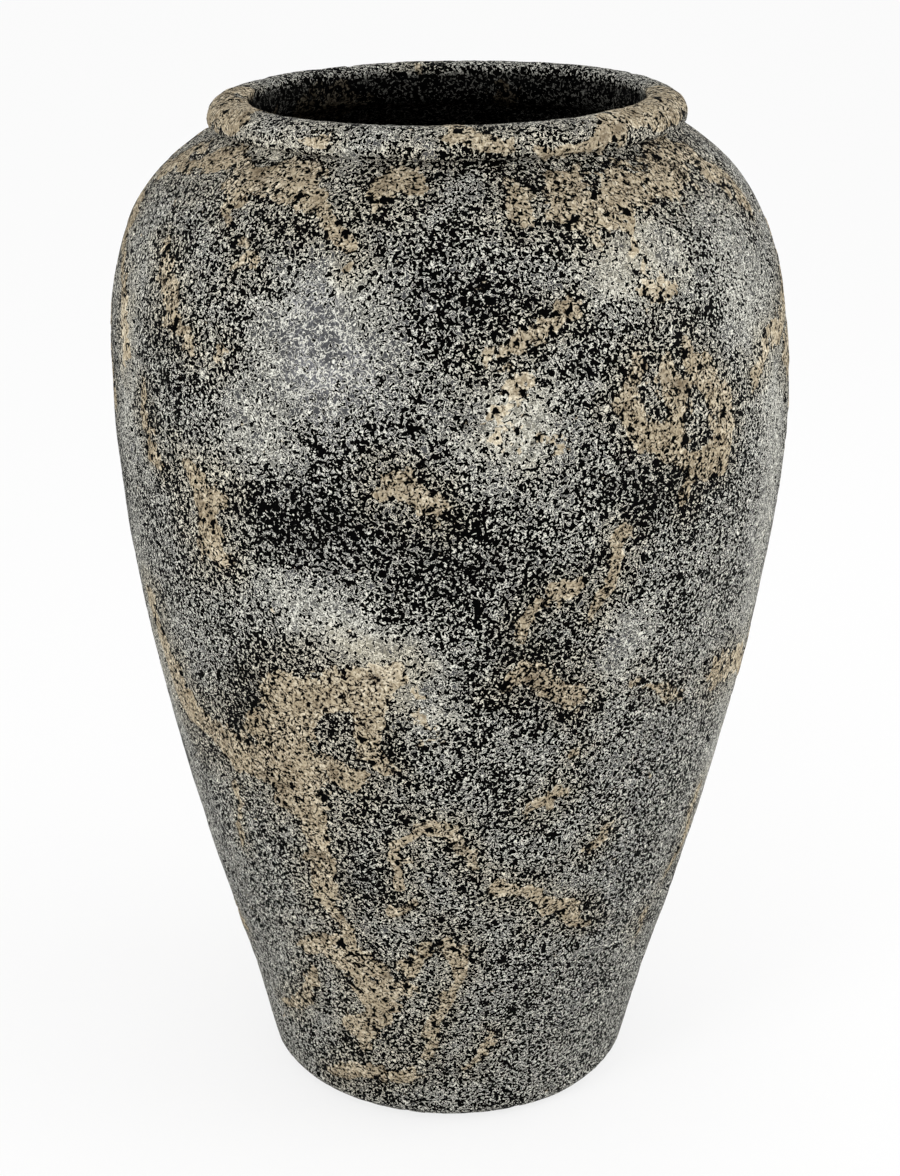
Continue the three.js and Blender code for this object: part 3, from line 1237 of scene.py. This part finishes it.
class FinishBench(NodeBench):
    """A bench on which one finish is mixed from shader nodes."""

    RIDGE_LAYERS = 2.0
    RIDGE_ROUGH = 0.55
    # the Mix node's colour sockets go by number, because its number sockets have the same names
    MIX_UNDER = 6
    MIX_OVER = 7
    MIX_RESULT = 2

    def __init__(self, title: str) -> None:
        """Clear a new material.

        Args:
            title: The name of the finish.
        """
        self.material = bpy.data.materials.new(title)
        self.material.use_nodes = True
        super().__init__(self.material.node_tree)
        self.coat = self.add("BsdfPrincipled", {})
        self.add("OutputMaterial", {"Surface": self.coat.outputs["BSDF"]})
        self.place = self.add("TexCoord", {}).outputs["Object"]

    def tone(self, kind: Tone) -> Socket:
        """Read one of the tones that lie on the skin."""
        return self.add("Attribute", {}, attribute_name=kind.value).outputs["Fac"]

    def total(self, *terms: tuple[Socket | float, float]) -> Socket:
        """Add up values, each times its own weight.

        Args:
            terms: Each value with its weight.

        Returns:
            The sum.
        """
        result: Socket | float = 0.0
        for value, weight in terms:
            node = self.add("Math", {0: value, 1: weight, 2: result}, operation="MULTIPLY_ADD")
            result = node.outputs["Value"]
        return result

    def fade(self, value: Socket, low: float, high: float) -> Socket:
        """Rise smoothly from nothing at one value to one at the other."""
        inputs = {"Value": value, "From Min": low, "From Max": high}
        return self.add("MapRange", inputs, interpolation_type="SMOOTHSTEP").outputs["Result"]

    def noise(self, look: Speckle, place: Socket | None = None) -> Node:
        """Lay cloudy noise on the clay.

        Args:
            look: The look of the noise.
            place: Where to read it, or the piece's own coordinates.

        Returns:
            The noise node, with its value and its colour.
        """
        inputs = {
            "Vector": place or self.place,
            "Scale": 1.0 / look.cell,
            "Detail": look.layers,
            "Roughness": look.rough,
        }
        return self.add("TexNoise", inputs)

    def speckle(self, look: Speckle, place: Socket | None = None) -> Socket:
        """Read cloudy noise as a number."""
        return self.noise(look, place).outputs["Fac"]

    def ridge(self, cell: float, place: Socket) -> Socket:
        """Draw wandering lines: the value is nothing on them and grows away from them.

        Args:
            cell: About how far the lines lie apart, in metres.
            place: Where the lines are read.

        Returns:
            The distance from the nearest line, as a number without a unit.
        """
        level = self.speckle(Speckle(cell, self.RIDGE_LAYERS, self.RIDGE_ROUGH), place)
        return self.reckon("ABSOLUTE", self.reckon("SUBTRACT", level, NOISE_MIDDLE))

    def bent_place(self, cell: float, reach: float, shift: float = 0.0) -> Socket:
        """Bend the coordinates, so that what is read there gets wandering edges.

        Args:
            cell: The size of the bends, in metres.
            reach: Twice the most that a point moves along an axis, in metres.
            shift: How far the whole pattern is moved, in metres.

        Returns:
            The bent coordinates.
        """
        noise = self.noise(Speckle(cell))
        middle = (NOISE_MIDDLE - shift / reach, NOISE_MIDDLE, NOISE_MIDDLE)
        centred = self.add("VectorMath", {0: noise.outputs["Color"], 1: middle}, operation="SUBTRACT")
        inputs = {0: centred.outputs["Vector"], 1: (reach, reach, reach), 2: self.place}
        return self.add("VectorMath", inputs, operation="MULTIPLY_ADD").outputs["Vector"]

    def blend(self, share: Socket, under: Socket | Colour, over: Socket | Colour) -> Socket:
        """Lay a share of the second colour over the first."""
        inputs = {0: share, self.MIX_UNDER: under, self.MIX_OVER: over}
        return self.add("Mix", inputs, data_type="RGBA").outputs[self.MIX_RESULT]

    def emboss(self, height: Socket, reach: float) -> None:
        """Raise the surface in the shading, by a height from 0 to 1 times a reach in metres."""
        bump = self.add("Bump", {"Strength": 1.0, "Distance": reach, "Height": height})
        self.feed(self.coat.inputs["Normal"], bump.outputs["Normal"])


@dataclass(frozen=True)
class ClayRead:
    """What the clay finish reads at each point: the skin's tones and the shared patterns."""

    crust: Socket
    wash: Socket
    chill: Socket
    soot_and_shade: Socket
    polish_and_highlight: Socket
    inside: Socket
    bent: Socket
    granule: Socket
    cloud: Socket


@dataclass(frozen=True)
class Crackle:
    """Black gaps between the clay's grains: wider in the soot and in the painted shade under the roll, rare
    where the clay is polished and under the painted highlight and side reflection.
    """

    black: Colour = (0.0004, 0.0004, 0.0004)
    line_cell: float = 0.0033
    line_share: float = 0.6
    web: Speckle = Speckle(0.0015, 1.0)
    web_share: float = 0.9
    soot_and_shade_share: float = 0.060
    polish_and_highlight_share: float = 0.15
    fringe_share: float = 0.050
    fringe_reach: float = 0.16
    cloud_share: float = 0.21
    inside_share: float = 0.05
    edge: float = 0.428
    softness: float = 0.020
    pore_step: float = 0.140
    halo_reach: float = 0.090
    groove_reach: float = 0.040

    def measure(self, bench: FinishBench, read: ClayRead, deep: Socket) -> Socket:
        """Measure how far each point lies from the gaps, in the middle of a grain most.

        Args:
            bench: The bench that the finish is mixed on.
            read: The tones and patterns at the point.
            deep: How deep inside a crust the point lies, under nothing outside it.

        Returns:
            A number that is under the edge value in the gaps.
        """
        line = bench.ridge(self.line_cell, read.bent)
        web = bench.speckle(self.web, read.bent)
        return bench.total(
            (line, self.line_share),
            (web, self.web_share),
            # more gaps under soot and under the painted shade below the roll
            (read.soot_and_shade, -self.soot_and_shade_share),
            # fewer gaps under polish and under the painted highlight and reflection
            (read.polish_and_highlight, self.polish_and_highlight_share),
            (bench.fade(deep, -self.fringe_reach, 0.0), -self.fringe_share),
            (read.cloud, -self.cloud_share),
            (read.inside, -self.inside_share),
        )

    def gaps(self, bench: FinishBench, far: Socket) -> Socket:
        """Give the share of black at each point of the grey clay."""
        return bench.fade(far, self.edge, self.edge - self.softness)

    def pores(self, bench: FinishBench, far: Socket) -> Socket:
        """Give the share of black at each point of a crust, where only the deepest gaps show."""
        edge = self.edge - self.pore_step
        return bench.fade(far, edge, edge - self.softness)

    def grooves(self, bench: FinishBench, far: Socket) -> Socket:
        """Give the shallow grooves that the gaps leave in a crust that lies over them."""
        return bench.fade(far, self.edge + self.groove_reach, self.edge - self.pore_step)

    def halo(self, bench: FinishBench, far: Socket) -> Socket:
        """Give the light worn edges of the grains along the gaps."""
        return bench.fade(far, self.edge + self.halo_reach, self.edge)


@dataclass(frozen=True)
class GreyGround:
    """The clay's grey grains, from charcoal to pale, cooler in drifts and warm near a crust."""

    charcoal: Colour = (0.062, 0.063, 0.066)
    grey: Colour = (0.295, 0.290, 0.246)
    lavender: Colour = (0.265, 0.266, 0.278)
    pale: Colour = (0.82, 0.812, 0.73)
    warm_grey: Colour = (0.315, 0.285, 0.210)
    warm_pale: Colour = (0.78, 0.72, 0.57)
    drift: Speckle = Speckle(0.070)
    vein_cell: float = 0.0068
    granule_share: float = 1.0
    cloud_share: float = 0.75
    halo_share: float = 1.4
    halo_level: float = 0.35
    soot_and_shade_share: float = 0.36
    polish_and_highlight_share: float = 0.06
    chill_share: float = 0.12
    calm: float = 0.5
    lightness: float = 0.335
    dark_reach: tuple[float, float] = (0.20, 0.52)
    bright_reach: tuple[float, float] = (0.47, 0.83)
    cool_reach: tuple[float, float] = (0.55, 1.0)
    drift_share: float = 0.8
    chill_tint: float = 0.6
    wash_reach: tuple[float, float] = (0.45, 1.35)
    wash_cloud: float = 0.8
    wash_shade: tuple[float, float] = (0.10, 0.45)
    vein_reach: tuple[float, float] = (0.024, 0.005)
    vein_polish_and_highlight: tuple[float, float] = (0.1, 0.9)
    warmth: float = 0.65
    paleness: float = 0.95
    vein_strength: float = 0.8

    def lay(self, bench: FinishBench, read: ClayRead, halo: Socket) -> Socket:
        """Mix the colour of the grains.

        Args:
            bench: The bench that the finish is mixed on.
            read: The tones and patterns at the point.
            halo: The light edges of the grains.

        Returns:
            The colour.
        """
        usual = NOISE_MIDDLE * self.granule_share + self.halo_level * self.halo_share
        lively = bench.total((read.granule, self.granule_share), (halo, self.halo_share), (-usual, 1.0))
        # calmer grain under polish and under the painted highlight and reflection
        rough = bench.total((read.polish_and_highlight, -self.calm), (1.0, 1.0))
        shade = bench.total(
            (bench.reckon("MULTIPLY", lively, rough), 1.0),
            (read.cloud, self.cloud_share),
            # darker under soot and under the painted shade below the roll
            (read.soot_and_shade, -self.soot_and_shade_share),
            (read.polish_and_highlight, -self.polish_and_highlight_share),
            (read.chill, -self.chill_share),
            (self.lightness, 1.0),
        )
        drift = bench.speckle(self.drift)
        cooled = bench.total((drift, self.drift_share), (read.chill, self.chill_tint))
        cool = bench.fade(cooled, *self.cool_reach)
        colour = bench.blend(cool, self.grey, self.lavender)
        colour = bench.blend(bench.fade(shade, *self.dark_reach), self.charcoal, colour)
        washed = bench.total((read.wash, 1.0), (read.cloud, self.wash_cloud))
        stained = bench.fade(washed, *self.wash_reach)
        wash = bench.reckon("MULTIPLY", stained, bench.fade(shade, *self.wash_shade))
        colour = bench.blend(bench.reckon("MULTIPLY", wash, self.warmth), colour, self.warm_grey)
        # pale veins under polish and under the painted highlight
        vein = bench.fade(bench.ridge(self.vein_cell, read.bent), *self.vein_reach)
        veined = bench.reckon("MULTIPLY", vein, bench.fade(read.polish_and_highlight, *self.vein_polish_and_highlight))
        whitened = bench.fade(shade, *self.bright_reach)
        bright = bench.total((whitened, self.paleness), (veined, self.vein_strength))
        pale = bench.blend(bench.reckon("MULTIPLY", stained, self.warmth), self.pale, self.warm_pale)
        return bench.blend(bright, colour, pale)


@dataclass(frozen=True)
class TanCrust:
    """Tan crusts that lie on the grey clay as a lace with dark pores and brown stains."""

    brown: Colour = (0.120, 0.088, 0.054)
    tan: Colour = (0.42, 0.352, 0.242)
    pale_tan: Colour = (0.83, 0.75, 0.585)
    lace: Speckle = Speckle(0.0078, 2.0, 0.6)
    lace_bend: float = 0.0070
    lace_share: float = 0.60
    tone_share: float = 0.40
    bareness: float = 0.418
    strand_cell: float = 0.0060
    strand_share: float = 0.6
    edge: float = 0.012
    stain: Speckle = Speckle(0.014, 3.0, 0.6)
    stain_strength: float = 0.7
    granule_share: float = 1.2
    cloud_share: float = 0.9
    rim_share: float = 0.18
    darkness: float = 0.48
    groove_strength: float = 0.60
    rim_reach: float = 0.060
    tan_reach: tuple[float, float] = (0.05, 0.50)
    pale_reach: tuple[float, float] = (0.42, 1.0)
    stain_reach: tuple[float, float] = (0.54, 0.72)
    pit_softness: float = 0.03
    lace_place: float = 0.02
    lace_bend_cell: float = 0.009
    pit: Speckle = Speckle(0.0048, 1.5)
    pit_rise: float = 0.12
    pit_edge: float = 0.485

    def measure(self, bench: FinishBench, read: ClayRead) -> Socket:
        """Measure how deep inside a crust each point lies.

        Args:
            bench: The bench that the finish is mixed on.
            read: The tones and patterns at the point.

        Returns:
            A number that is over nothing in the crust.
        """
        place = bench.bent_place(self.lace_bend_cell, self.lace_bend, self.lace_place)
        lace = bench.speckle(self.lace, place)
        strand = bench.ridge(self.strand_cell, read.bent)
        return bench.total(
            (read.crust, self.tone_share),
            (lace, self.lace_share),
            (strand, -self.strand_share),
            (-self.bareness, 1.0),
        )

    def cover(self, bench: FinishBench, deep: Socket) -> Socket:
        """Give the share of crust at each point."""
        return bench.fade(deep, -self.edge, self.edge)

    def pits(self, bench: FinishBench, read: ClayRead) -> Socket:
        """Lay the black pits: small in a thick crust, wide holes where it thins to a lace.

        Args:
            bench: The bench that the finish is mixed on.
            read: The tones and patterns at the point.

        Returns:
            The share of black at each point.
        """
        level = bench.total((bench.speckle(self.pit, read.bent), 1.0), (read.crust, self.pit_rise))
        return bench.fade(level, self.pit_edge, self.pit_edge - self.pit_softness)

    def lay(self, bench: FinishBench, read: ClayRead, deep: Socket, groove: Socket) -> Socket:
        """Mix the colour of the crust.

        Args:
            bench: The bench that the finish is mixed on.
            read: The tones and patterns at the point.
            deep: How deep inside the crust the point lies.
            groove: The shallow grooves in the crust.

        Returns:
            The colour.
        """
        rim = bench.fade(deep, self.rim_reach, self.edge)
        shade = bench.total(
            (read.granule, self.granule_share),
            (read.cloud, self.cloud_share),
            (rim, self.rim_share),
            (-self.darkness, 1.0),
        )
        colour = bench.blend(bench.fade(shade, *self.tan_reach), self.brown, self.tan)
        colour = bench.blend(bench.fade(shade, *self.pale_reach), colour, self.pale_tan)
        colour = bench.blend(bench.reckon("MULTIPLY", groove, self.groove_strength), colour, self.brown)
        stain = bench.fade(bench.speckle(self.stain), *self.stain_reach)
        return bench.blend(bench.reckon("MULTIPLY", stain, self.stain_strength), colour, self.brown)


@dataclass(frozen=True)
class WeatheredClay:
    """Grey crackled clay with tan crusts on it, nearly black just inside the mouth."""

    title: str = "weathered clay"
    crackle: Crackle = Crackle()
    ground: GreyGround = GreyGround()
    crust: TanCrust = TanCrust()
    granule: Speckle = Speckle(0.0014, 1.0, 0.55)
    cloud: Speckle = Speckle(0.018, 3.0, 0.60)
    bend_cell: float = 0.0030
    bend_reach: float = 0.0045
    inside_black: float = 0.85
    roughness: float = 0.50
    sheen_level: float = 0.02
    relief: float = 0.0006
    crust_roughness: float = 0.18
    polish_roughness: float = -0.14
    granule_roughness: float = 0.15
    gap_height: float = -0.50
    crust_height: float = 0.25
    pore_height: float = -0.30
    granule_height: float = 0.35
    middle_height: float = 0.50

    def mix(self) -> bpy.types.Material:
        """Mix the finish.

        Returns:
            The material.
        """
        bench = FinishBench(self.title)
        read = self.read(bench)
        deep = self.crust.measure(bench, read)
        far = self.crackle.measure(bench, read, deep)
        gaps = self.crackle.gaps(bench, far)
        grains = self.ground.lay(bench, read, self.crackle.halo(bench, far))
        ground = bench.blend(gaps, grains, self.crackle.black)
        crusted = self.crust.cover(bench, deep)
        pores = bench.reckon("MAXIMUM", self.crackle.pores(bench, far), self.crust.pits(bench, read))
        tans = self.crust.lay(bench, read, deep, self.crackle.grooves(bench, far))
        crust = bench.blend(pores, tans, self.crackle.black)
        colour = bench.blend(crusted, ground, crust)
        darkened = bench.blend(bench.total((read.inside, self.inside_black)), colour, self.crackle.black)
        bench.feed(bench.coat.inputs["Base Color"], darkened)
        roughness = bench.total(
            (crusted, self.crust_roughness),
            (read.polish_and_highlight, self.polish_roughness),
            (read.granule, self.granule_roughness),
            (self.roughness, 1.0),
        )
        bench.feed(bench.coat.inputs["Roughness"], roughness)
        bench.feed(bench.coat.inputs["Specular IOR Level"], self.sheen_level)
        sunk = bench.reckon("MULTIPLY", gaps, bench.reckon("SUBTRACT", 1.0, crusted))
        height = bench.total(
            (sunk, self.gap_height),
            (crusted, self.crust_height),
            (pores, self.pore_height),
            (read.granule, self.granule_height),
            (self.middle_height, 1.0),
        )
        bench.emboss(height, self.relief)
        return bench.material

    def read(self, bench: FinishBench) -> ClayRead:
        """Read the skin's tones and lay the patterns that every layer shares.

        Args:
            bench: The bench that the finish is mixed on.

        Returns:
            The tones and patterns.
        """
        bent = bench.bent_place(self.bend_cell, self.bend_reach)
        tones = {tone.value: bench.tone(tone) for tone in Tone}
        granule = bench.speckle(self.granule, bent)
        return ClayRead(**tones, bent=bent, granule=granule, cloud=bench.speckle(self.cloud))


@dataclass(frozen=True)
class StopperRubber:
    """Matt black moulded rubber with a fine bloom of dust."""

    title: str = "stopper rubber"
    black: Colour = (0.018, 0.018, 0.019)
    dust: Colour = (0.085, 0.080, 0.070)
    bloom: Speckle = Speckle(0.004, 4.0, 0.65)
    bloom_reach: tuple[float, float] = (0.5, 0.8)
    grain: Speckle = Speckle(0.0006)
    roughness: float = 0.5
    bloom_roughness: float = 0.25
    bloom_height: float = 0.5
    grain_height: float = 0.5
    relief: float = 0.0002

    def mix(self) -> bpy.types.Material:
        """Mix the finish.

        Returns:
            The material.
        """
        bench = FinishBench(self.title)
        bloom = bench.speckle(self.bloom)
        colour = bench.blend(bench.fade(bloom, *self.bloom_reach), self.black, self.dust)
        bench.feed(bench.coat.inputs["Base Color"], colour)
        roughness = bench.total((bloom, self.bloom_roughness), (self.roughness, 1.0))
        bench.feed(bench.coat.inputs["Roughness"], roughness)
        grain = bench.speckle(self.grain)
        bench.emboss(bench.total((grain, self.grain_height), (bloom, self.bloom_height)), self.relief)
        return bench.material


@dataclass
class ClayPiece:
    """A clay section that stands for one solid and rides on the jar."""

    skin: JarSkin
    clay: bpy.types.Material
    node: str = ""
    slot: Slot = Slot.WALL

    @property
    def outline(self) -> JarOutline:
        """Give the profile that the section is part of."""
        return self.skin.outline

    def ring(self) -> ClayRing:
        """Lay out the section's rows."""
        raise NotImplementedError

    def lap_foot(self, seam: float) -> list[tuple[float, float]]:
        """Give the corners of the step with which a section hangs down outside a tongue."""
        upright = self.outline.lap_radius(seam) + self.outline.lap_gap
        return [(upright, seam + self.outline.lap_rise), (upright, seam)]

    def lap_top(self, seam: float) -> list[tuple[float, float]]:
        """Give the corners of the tongue that stands up inside the next section."""
        upright = self.outline.lap_radius(seam)
        return [(upright, seam), (upright, seam + self.outline.lap_rise)]

    def rim_of(self, mark: Landmark) -> tuple[float, float]:
        """Give radius and height of a landmark."""
        radius, height = self.skin.profile[self.skin.marks[mark]]
        return float(radius), float(height)

    def build(self) -> bpy.types.Object:
        """Build the section, dress it and hang it on the jar's frame.

        Returns:
            The new object.
        """
        piece = self.ring().build(f"{self.node}_clay")
        piece.data.materials.append(self.clay)
        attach(piece, "jar")
        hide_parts(self.node)
        return piece


@dataclass
class FootRing(ClayPiece):
    """The rounded ring that the jar stands on, open inside."""

    node: str = "foot_ring"
    slot: Slot = Slot.FOOT

    def ring(self) -> ClayRing:
        """Lay out the rounded corner, the top, the bore and the ground face.

        Returns:
            The ring of rows.
        """
        o = self.outline
        bore = o.ring_bore_radius
        ring = ClayRing(self.skin).add_skin(Landmark.GROUND, Landmark.RING_TOP, breadths=1, share=0.5)
        top = self.rim_of(Landmark.RING_TOP)
        ground = self.rim_of(Landmark.GROUND)
        return ring.add_plain(top, (bore, o.ring_height), (bore, 0.0), ground)


@dataclass
class FloorDisc(ClayPiece):
    """The floor with the drain hole, stepped at its edge for the wall."""

    node: str = "floor_disc"
    slot: Slot = Slot.FOOT

    def ring(self) -> ClayRing:
        """Lay out the edge, the step, the floor inside, the hole and the underside.

        Returns:
            The ring of rows.
        """
        o = self.outline
        tongue = self.lap_top(o.floor_seam)
        edge = self.rim_of(Landmark.FLOOR_SEAM)
        floor = self.rim_of(Landmark.FLOOR_EDGE)
        hole = self.rim_of(Landmark.HOLE_EDGE)
        ring = ClayRing(self.skin).add_skin(Landmark.RING_TOP, Landmark.FLOOR_SEAM, breadths=1, share=0.2)
        ring.add_plain(edge, *tongue, floor)
        ring.add_skin(Landmark.FLOOR_EDGE, Landmark.HOLE_EDGE, breadths=1, share=0.3)
        return ring.add_plain(hole, (o.hole_radius, o.ring_height), self.rim_of(Landmark.RING_TOP))


@dataclass
class WallSection(ClayPiece):
    """A wall section between two seams, with a tongue on top and a step under its outer face."""

    low: Landmark = Landmark.FLOOR_SEAM
    high: Landmark = Landmark.LOWER_SEAM
    high_inside: Landmark = Landmark.LOWER_INSIDE
    low_inside: Landmark = Landmark.FLOOR_EDGE
    outer_share: float = 0.74
    inner_share: float = 0.20

    def ring(self) -> ClayRing:
        """Lay out the outer face, the tongue, the inner face and the foot.

        Returns:
            The ring of rows.
        """
        low, high = self.rim_of(self.low), self.rim_of(self.high)
        ring = ClayRing(self.skin).add_skin(self.low, self.high, breadths=2, share=self.outer_share)
        ring.add_plain(high, *self.lap_top(high[1]), self.rim_of(self.high_inside))
        ring.add_skin(self.high_inside, self.low_inside, breadths=1, share=self.inner_share)
        return ring.add_plain(self.rim_of(self.low_inside), *self.lap_foot(low[1]), low)


@dataclass
class LowerWall(WallSection):
    """The wall section that stands on the floor, with a fillet of clay in its corner inside."""

    node: str = "lower_wall"


@dataclass
class MiddleWall(WallSection):
    """The wall section up to the belly."""

    node: str = "middle_wall"
    low: Landmark = Landmark.LOWER_SEAM
    high: Landmark = Landmark.UPPER_SEAM
    high_inside: Landmark = Landmark.UPPER_INSIDE
    low_inside: Landmark = Landmark.LOWER_INSIDE
    outer_share: float = 0.72
    inner_share: float = 0.22


@dataclass
class ShoulderWall(WallSection):
    """The belly and shoulder section."""

    node: str = "shoulder_wall"
    low: Landmark = Landmark.UPPER_SEAM
    high: Landmark = Landmark.COLLAR_SEAM
    high_inside: Landmark = Landmark.COLLAR_INSIDE
    low_inside: Landmark = Landmark.UPPER_INSIDE
    outer_share: float = 0.66
    inner_share: float = 0.28


@dataclass
class RolledRim(ClayPiece):
    """The collar with the crease and the roll over it."""

    node: str = "rolled_rim"
    slot: Slot = Slot.RIM

    def ring(self) -> ClayRing:
        """Lay out the collar, the crease, the roll, the mouth and the foot.

        Returns:
            The ring of rows.
        """
        foot = self.lap_foot(self.outline.collar_seam)
        ring = ClayRing(self.skin)
        ring.add_skin(Landmark.COLLAR_SEAM, Landmark.COLLAR_INSIDE, breadths=2, share=0.9)
        collar = self.rim_of(Landmark.COLLAR_SEAM)
        return ring.add_plain(self.rim_of(Landmark.COLLAR_INSIDE), *foot, collar)


@dataclass
class DrainStopper:
    """The rubber stopper: a flat head, a stem down the drain hole and a knob to lift it by."""

    rubber: bpy.types.Material
    node: str = "drain_stopper"
    outline: JarOutline = field(default_factory=JarOutline)
    clearance: float = 0.0005
    head_overlap: float = 0.006
    head_thickness: float = 0.005
    edge_radius: float = 0.0015
    stem_length: float = 0.013
    stem_chamfer: float = 0.002
    knob_radius: float = 0.007
    knob_height: float = 0.012
    knob_foot: float = 0.001
    ring_depth: float = 0.0004
    ring_half_width: float = 0.0012
    edge_steps: int = 5
    ring_steps: int = 8
    knob_steps: int = 12
    sharp_angle: float = 35.0
    columns: int = 96

    def profile(self) -> Points:
        """Trace the stopper from the foot of its stem to the top of its knob.

        Returns:
            Rows of radius and height.
        """
        stem = self.outline.hole_radius - self.clearance
        head = self.outline.hole_radius + self.head_overlap
        edge = self.edge_radius
        edge_middle = np.array([head - edge, self.head_thickness - edge])
        knob_middle = np.array([0.0, self.head_thickness + self.knob_height - self.knob_radius])
        ring = np.array([(head - edge + self.knob_radius) / 2.0, self.head_thickness])
        line = np.vstack([
            [0.0, -self.stem_length],
            [stem - self.stem_chamfer, -self.stem_length],
            [stem, self.stem_chamfer - self.stem_length],
            [stem, 0.0],
            [head, 0.0],
            arc(edge_middle, edge, edge, 0.0, 90.0, self.edge_steps),
            arc(ring, self.ring_half_width, -self.ring_depth, 0.0, 180.0, self.ring_steps),
            [self.knob_radius + self.knob_foot, self.head_thickness],
            [self.knob_radius, self.head_thickness + self.knob_foot],
            arc(knob_middle, self.knob_radius, self.knob_radius, 0.0, 90.0, self.knob_steps),
        ])
        return line + np.array([0.0, self.outline.floor_height])

    def build(self) -> bpy.types.Object:
        """Build the stopper, dress it and hang it on its own body.

        Returns:
            The new object.
        """
        line = self.profile()
        turn = np.arange(self.columns) / self.columns * FULL_TURN
        points = [(0.0, 0.0, float(line[0, 1])), (0.0, 0.0, float(line[-1, 1]))]
        poles = len(points)
        rows = line[1:-1]
        for radius, height in rows:
            points.extend(zip(radius * np.sin(turn), -radius * np.cos(turn), itertools.repeat(height)))
        faces: list[tuple[int, ...]] = []
        for column in range(self.columns):
            beside = (column + 1) % self.columns
            faces.append((0, poles + beside, poles + column))
            top = poles + (len(rows) - 1) * self.columns
            faces.append((1, top + column, top + beside))
            for row in range(len(rows) - 1):
                low = poles + row * self.columns
                high = low + self.columns
                faces.append((low + column, low + beside, high + beside, high + column))
        mesh = bpy.data.meshes.new(f"{self.node}_rubber")
        mesh.from_pydata(points, [], faces)
        mesh.polygons.foreach_set("use_smooth", np.ones(len(faces), dtype=bool))
        mesh.set_sharp_from_angle(angle=math.radians(self.sharp_angle))
        mesh.materials.append(self.rubber)
        piece = bpy.data.objects.new(mesh.name, mesh)
        bpy.context.scene.collection.objects.link(piece)
        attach(piece, "stopper")
        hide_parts(self.node)
        return piece


@dataclass
class Studio:
    """A white room with soft light, a pale floor and the camera."""

    floor_reach: float = 8.0
    floor_colour: Colour = (0.95, 0.95, 0.95)
    floor_shadow: float = 0.24
    room_colour: Colour = (1.0, 1.0, 1.0)
    room_light: float = 0.88
    room_seen: float = 1.0
    softbox_place: Place = (-1.15, -1.25, 0.85)
    softbox_size: float = 0.6
    softbox_watts: float = 9.0
    side_place: Place = (1.5, -0.1, 0.7)
    side_size: float = 1.2
    side_watts: float = 11.0
    lamp_target: Place = (0.0, 0.0, 0.38)
    camera_place: Place = (0.0, -1.120, 0.7224)
    camera_target: Place = (0.0, 0.0, 0.2839)
    lens: float = 65.45
    sensor_height: float = 36.0

    def build(self) -> None:
        """Set up the whole room."""
        self.lay_floor()
        self.light_room()
        self.hang_lamp("softbox", self.softbox_place, self.softbox_size, self.softbox_watts)
        self.hang_lamp("side light", self.side_place, self.side_size, self.side_watts)
        self.place_camera()
        bpy.context.scene.view_settings.view_transform = "Standard"

    def lay_floor(self) -> None:
        """Lay the floor, which looks white to the camera and keeps the jar's shadow."""
        reach = self.floor_reach
        corners = [(-reach, -reach, 0.0), (reach, -reach, 0.0), (reach, reach, 0.0), (-reach, reach, 0.0)]
        mesh = bpy.data.meshes.new("studio_floor")
        mesh.from_pydata(corners, [], [(0, 1, 2, 3)])
        floor = bpy.data.objects.new("studio_floor", mesh)
        bpy.context.scene.collection.objects.link(floor)
        material = bpy.data.materials.new("studio paper")
        material.use_nodes = True
        bench = NodeBench(material.node_tree)
        paper = bench.add("BsdfDiffuse", {"Color": self.floor_colour}).outputs["BSDF"]
        glow = bench.add("Emission", {"Strength": self.room_seen}).outputs["Emission"]
        share = bench.reckon("MULTIPLY", bench.seen(), 1.0 - self.floor_shadow)
        mixed = bench.add("MixShader", {"Fac": share, 1: paper, 2: glow})
        bench.add("OutputMaterial", {"Surface": mixed.outputs["Shader"]})
        mesh.materials.append(material)

    def light_room(self) -> None:
        """Light the room evenly from all sides, and let it look white."""
        world = bpy.data.worlds.new("white room")
        bpy.context.scene.world = world
        world.use_nodes = True
        bench = NodeBench(world.node_tree)
        walls, seen_walls = (
            bench.add("Background", {"Color": self.room_colour, "Strength": light}).outputs["Background"]
            for light in (self.room_light, self.room_seen)
        )
        mixed = bench.add("MixShader", {"Fac": bench.seen(), 1: walls, 2: seen_walls})
        bench.add("OutputWorld", {"Surface": mixed.outputs["Shader"]})

    def hang_lamp(self, name: str, place: Place, size: float, watts: float) -> None:
        """Hang a square soft lamp that looks at the jar's belly.

        Args:
            name: The lamp's name.
            place: Where it hangs, in metres.
            size: The length of its sides, in metres.
            watts: Its power.
        """
        lamp = bpy.data.lights.new(name, "AREA")
        lamp.shape = "SQUARE"
        lamp.size = size
        lamp.energy = watts
        holder = bpy.data.objects.new(name, lamp)
        holder.location = place
        way = Vector(self.lamp_target) - holder.location
        holder.rotation_euler = way.to_track_quat("-Z", "Y").to_euler()
        bpy.context.scene.collection.objects.link(holder)

    def place_camera(self) -> None:
        """Put the camera where the reference view was taken from."""
        camera = bpy.data.cameras.new("camera")
        camera.sensor_fit = "VERTICAL"
        camera.sensor_height = self.sensor_height
        camera.lens = self.lens
        holder = bpy.data.objects.new("camera", camera)
        holder.location = self.camera_place
        way = Vector(self.camera_target) - holder.location
        holder.rotation_euler = way.to_track_quat("-Z", "Y").to_euler()
        bpy.context.scene.collection.objects.link(holder)
        bpy.context.scene.camera = holder


def main() -> None:
    """Build the jar section by section and set up the room."""
    logging.basicConfig(level=logging.INFO, format="%(message)s")
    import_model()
    Studio().build()
    skin = JarSkin()
    clay = WeatheredClay().mix()
    kinds = (FootRing, FloorDisc, LowerWall, MiddleWall, ShoulderWall, RolledRim)
    sections = [kind(skin, clay) for kind in kinds]
    for part in (*sections, DrainStopper(StopperRubber().mix())):
        piece = part.build()
        log.info("%s: %d faces", piece.name, len(piece.data.polygons))


if __name__ == "__main__":
    main()
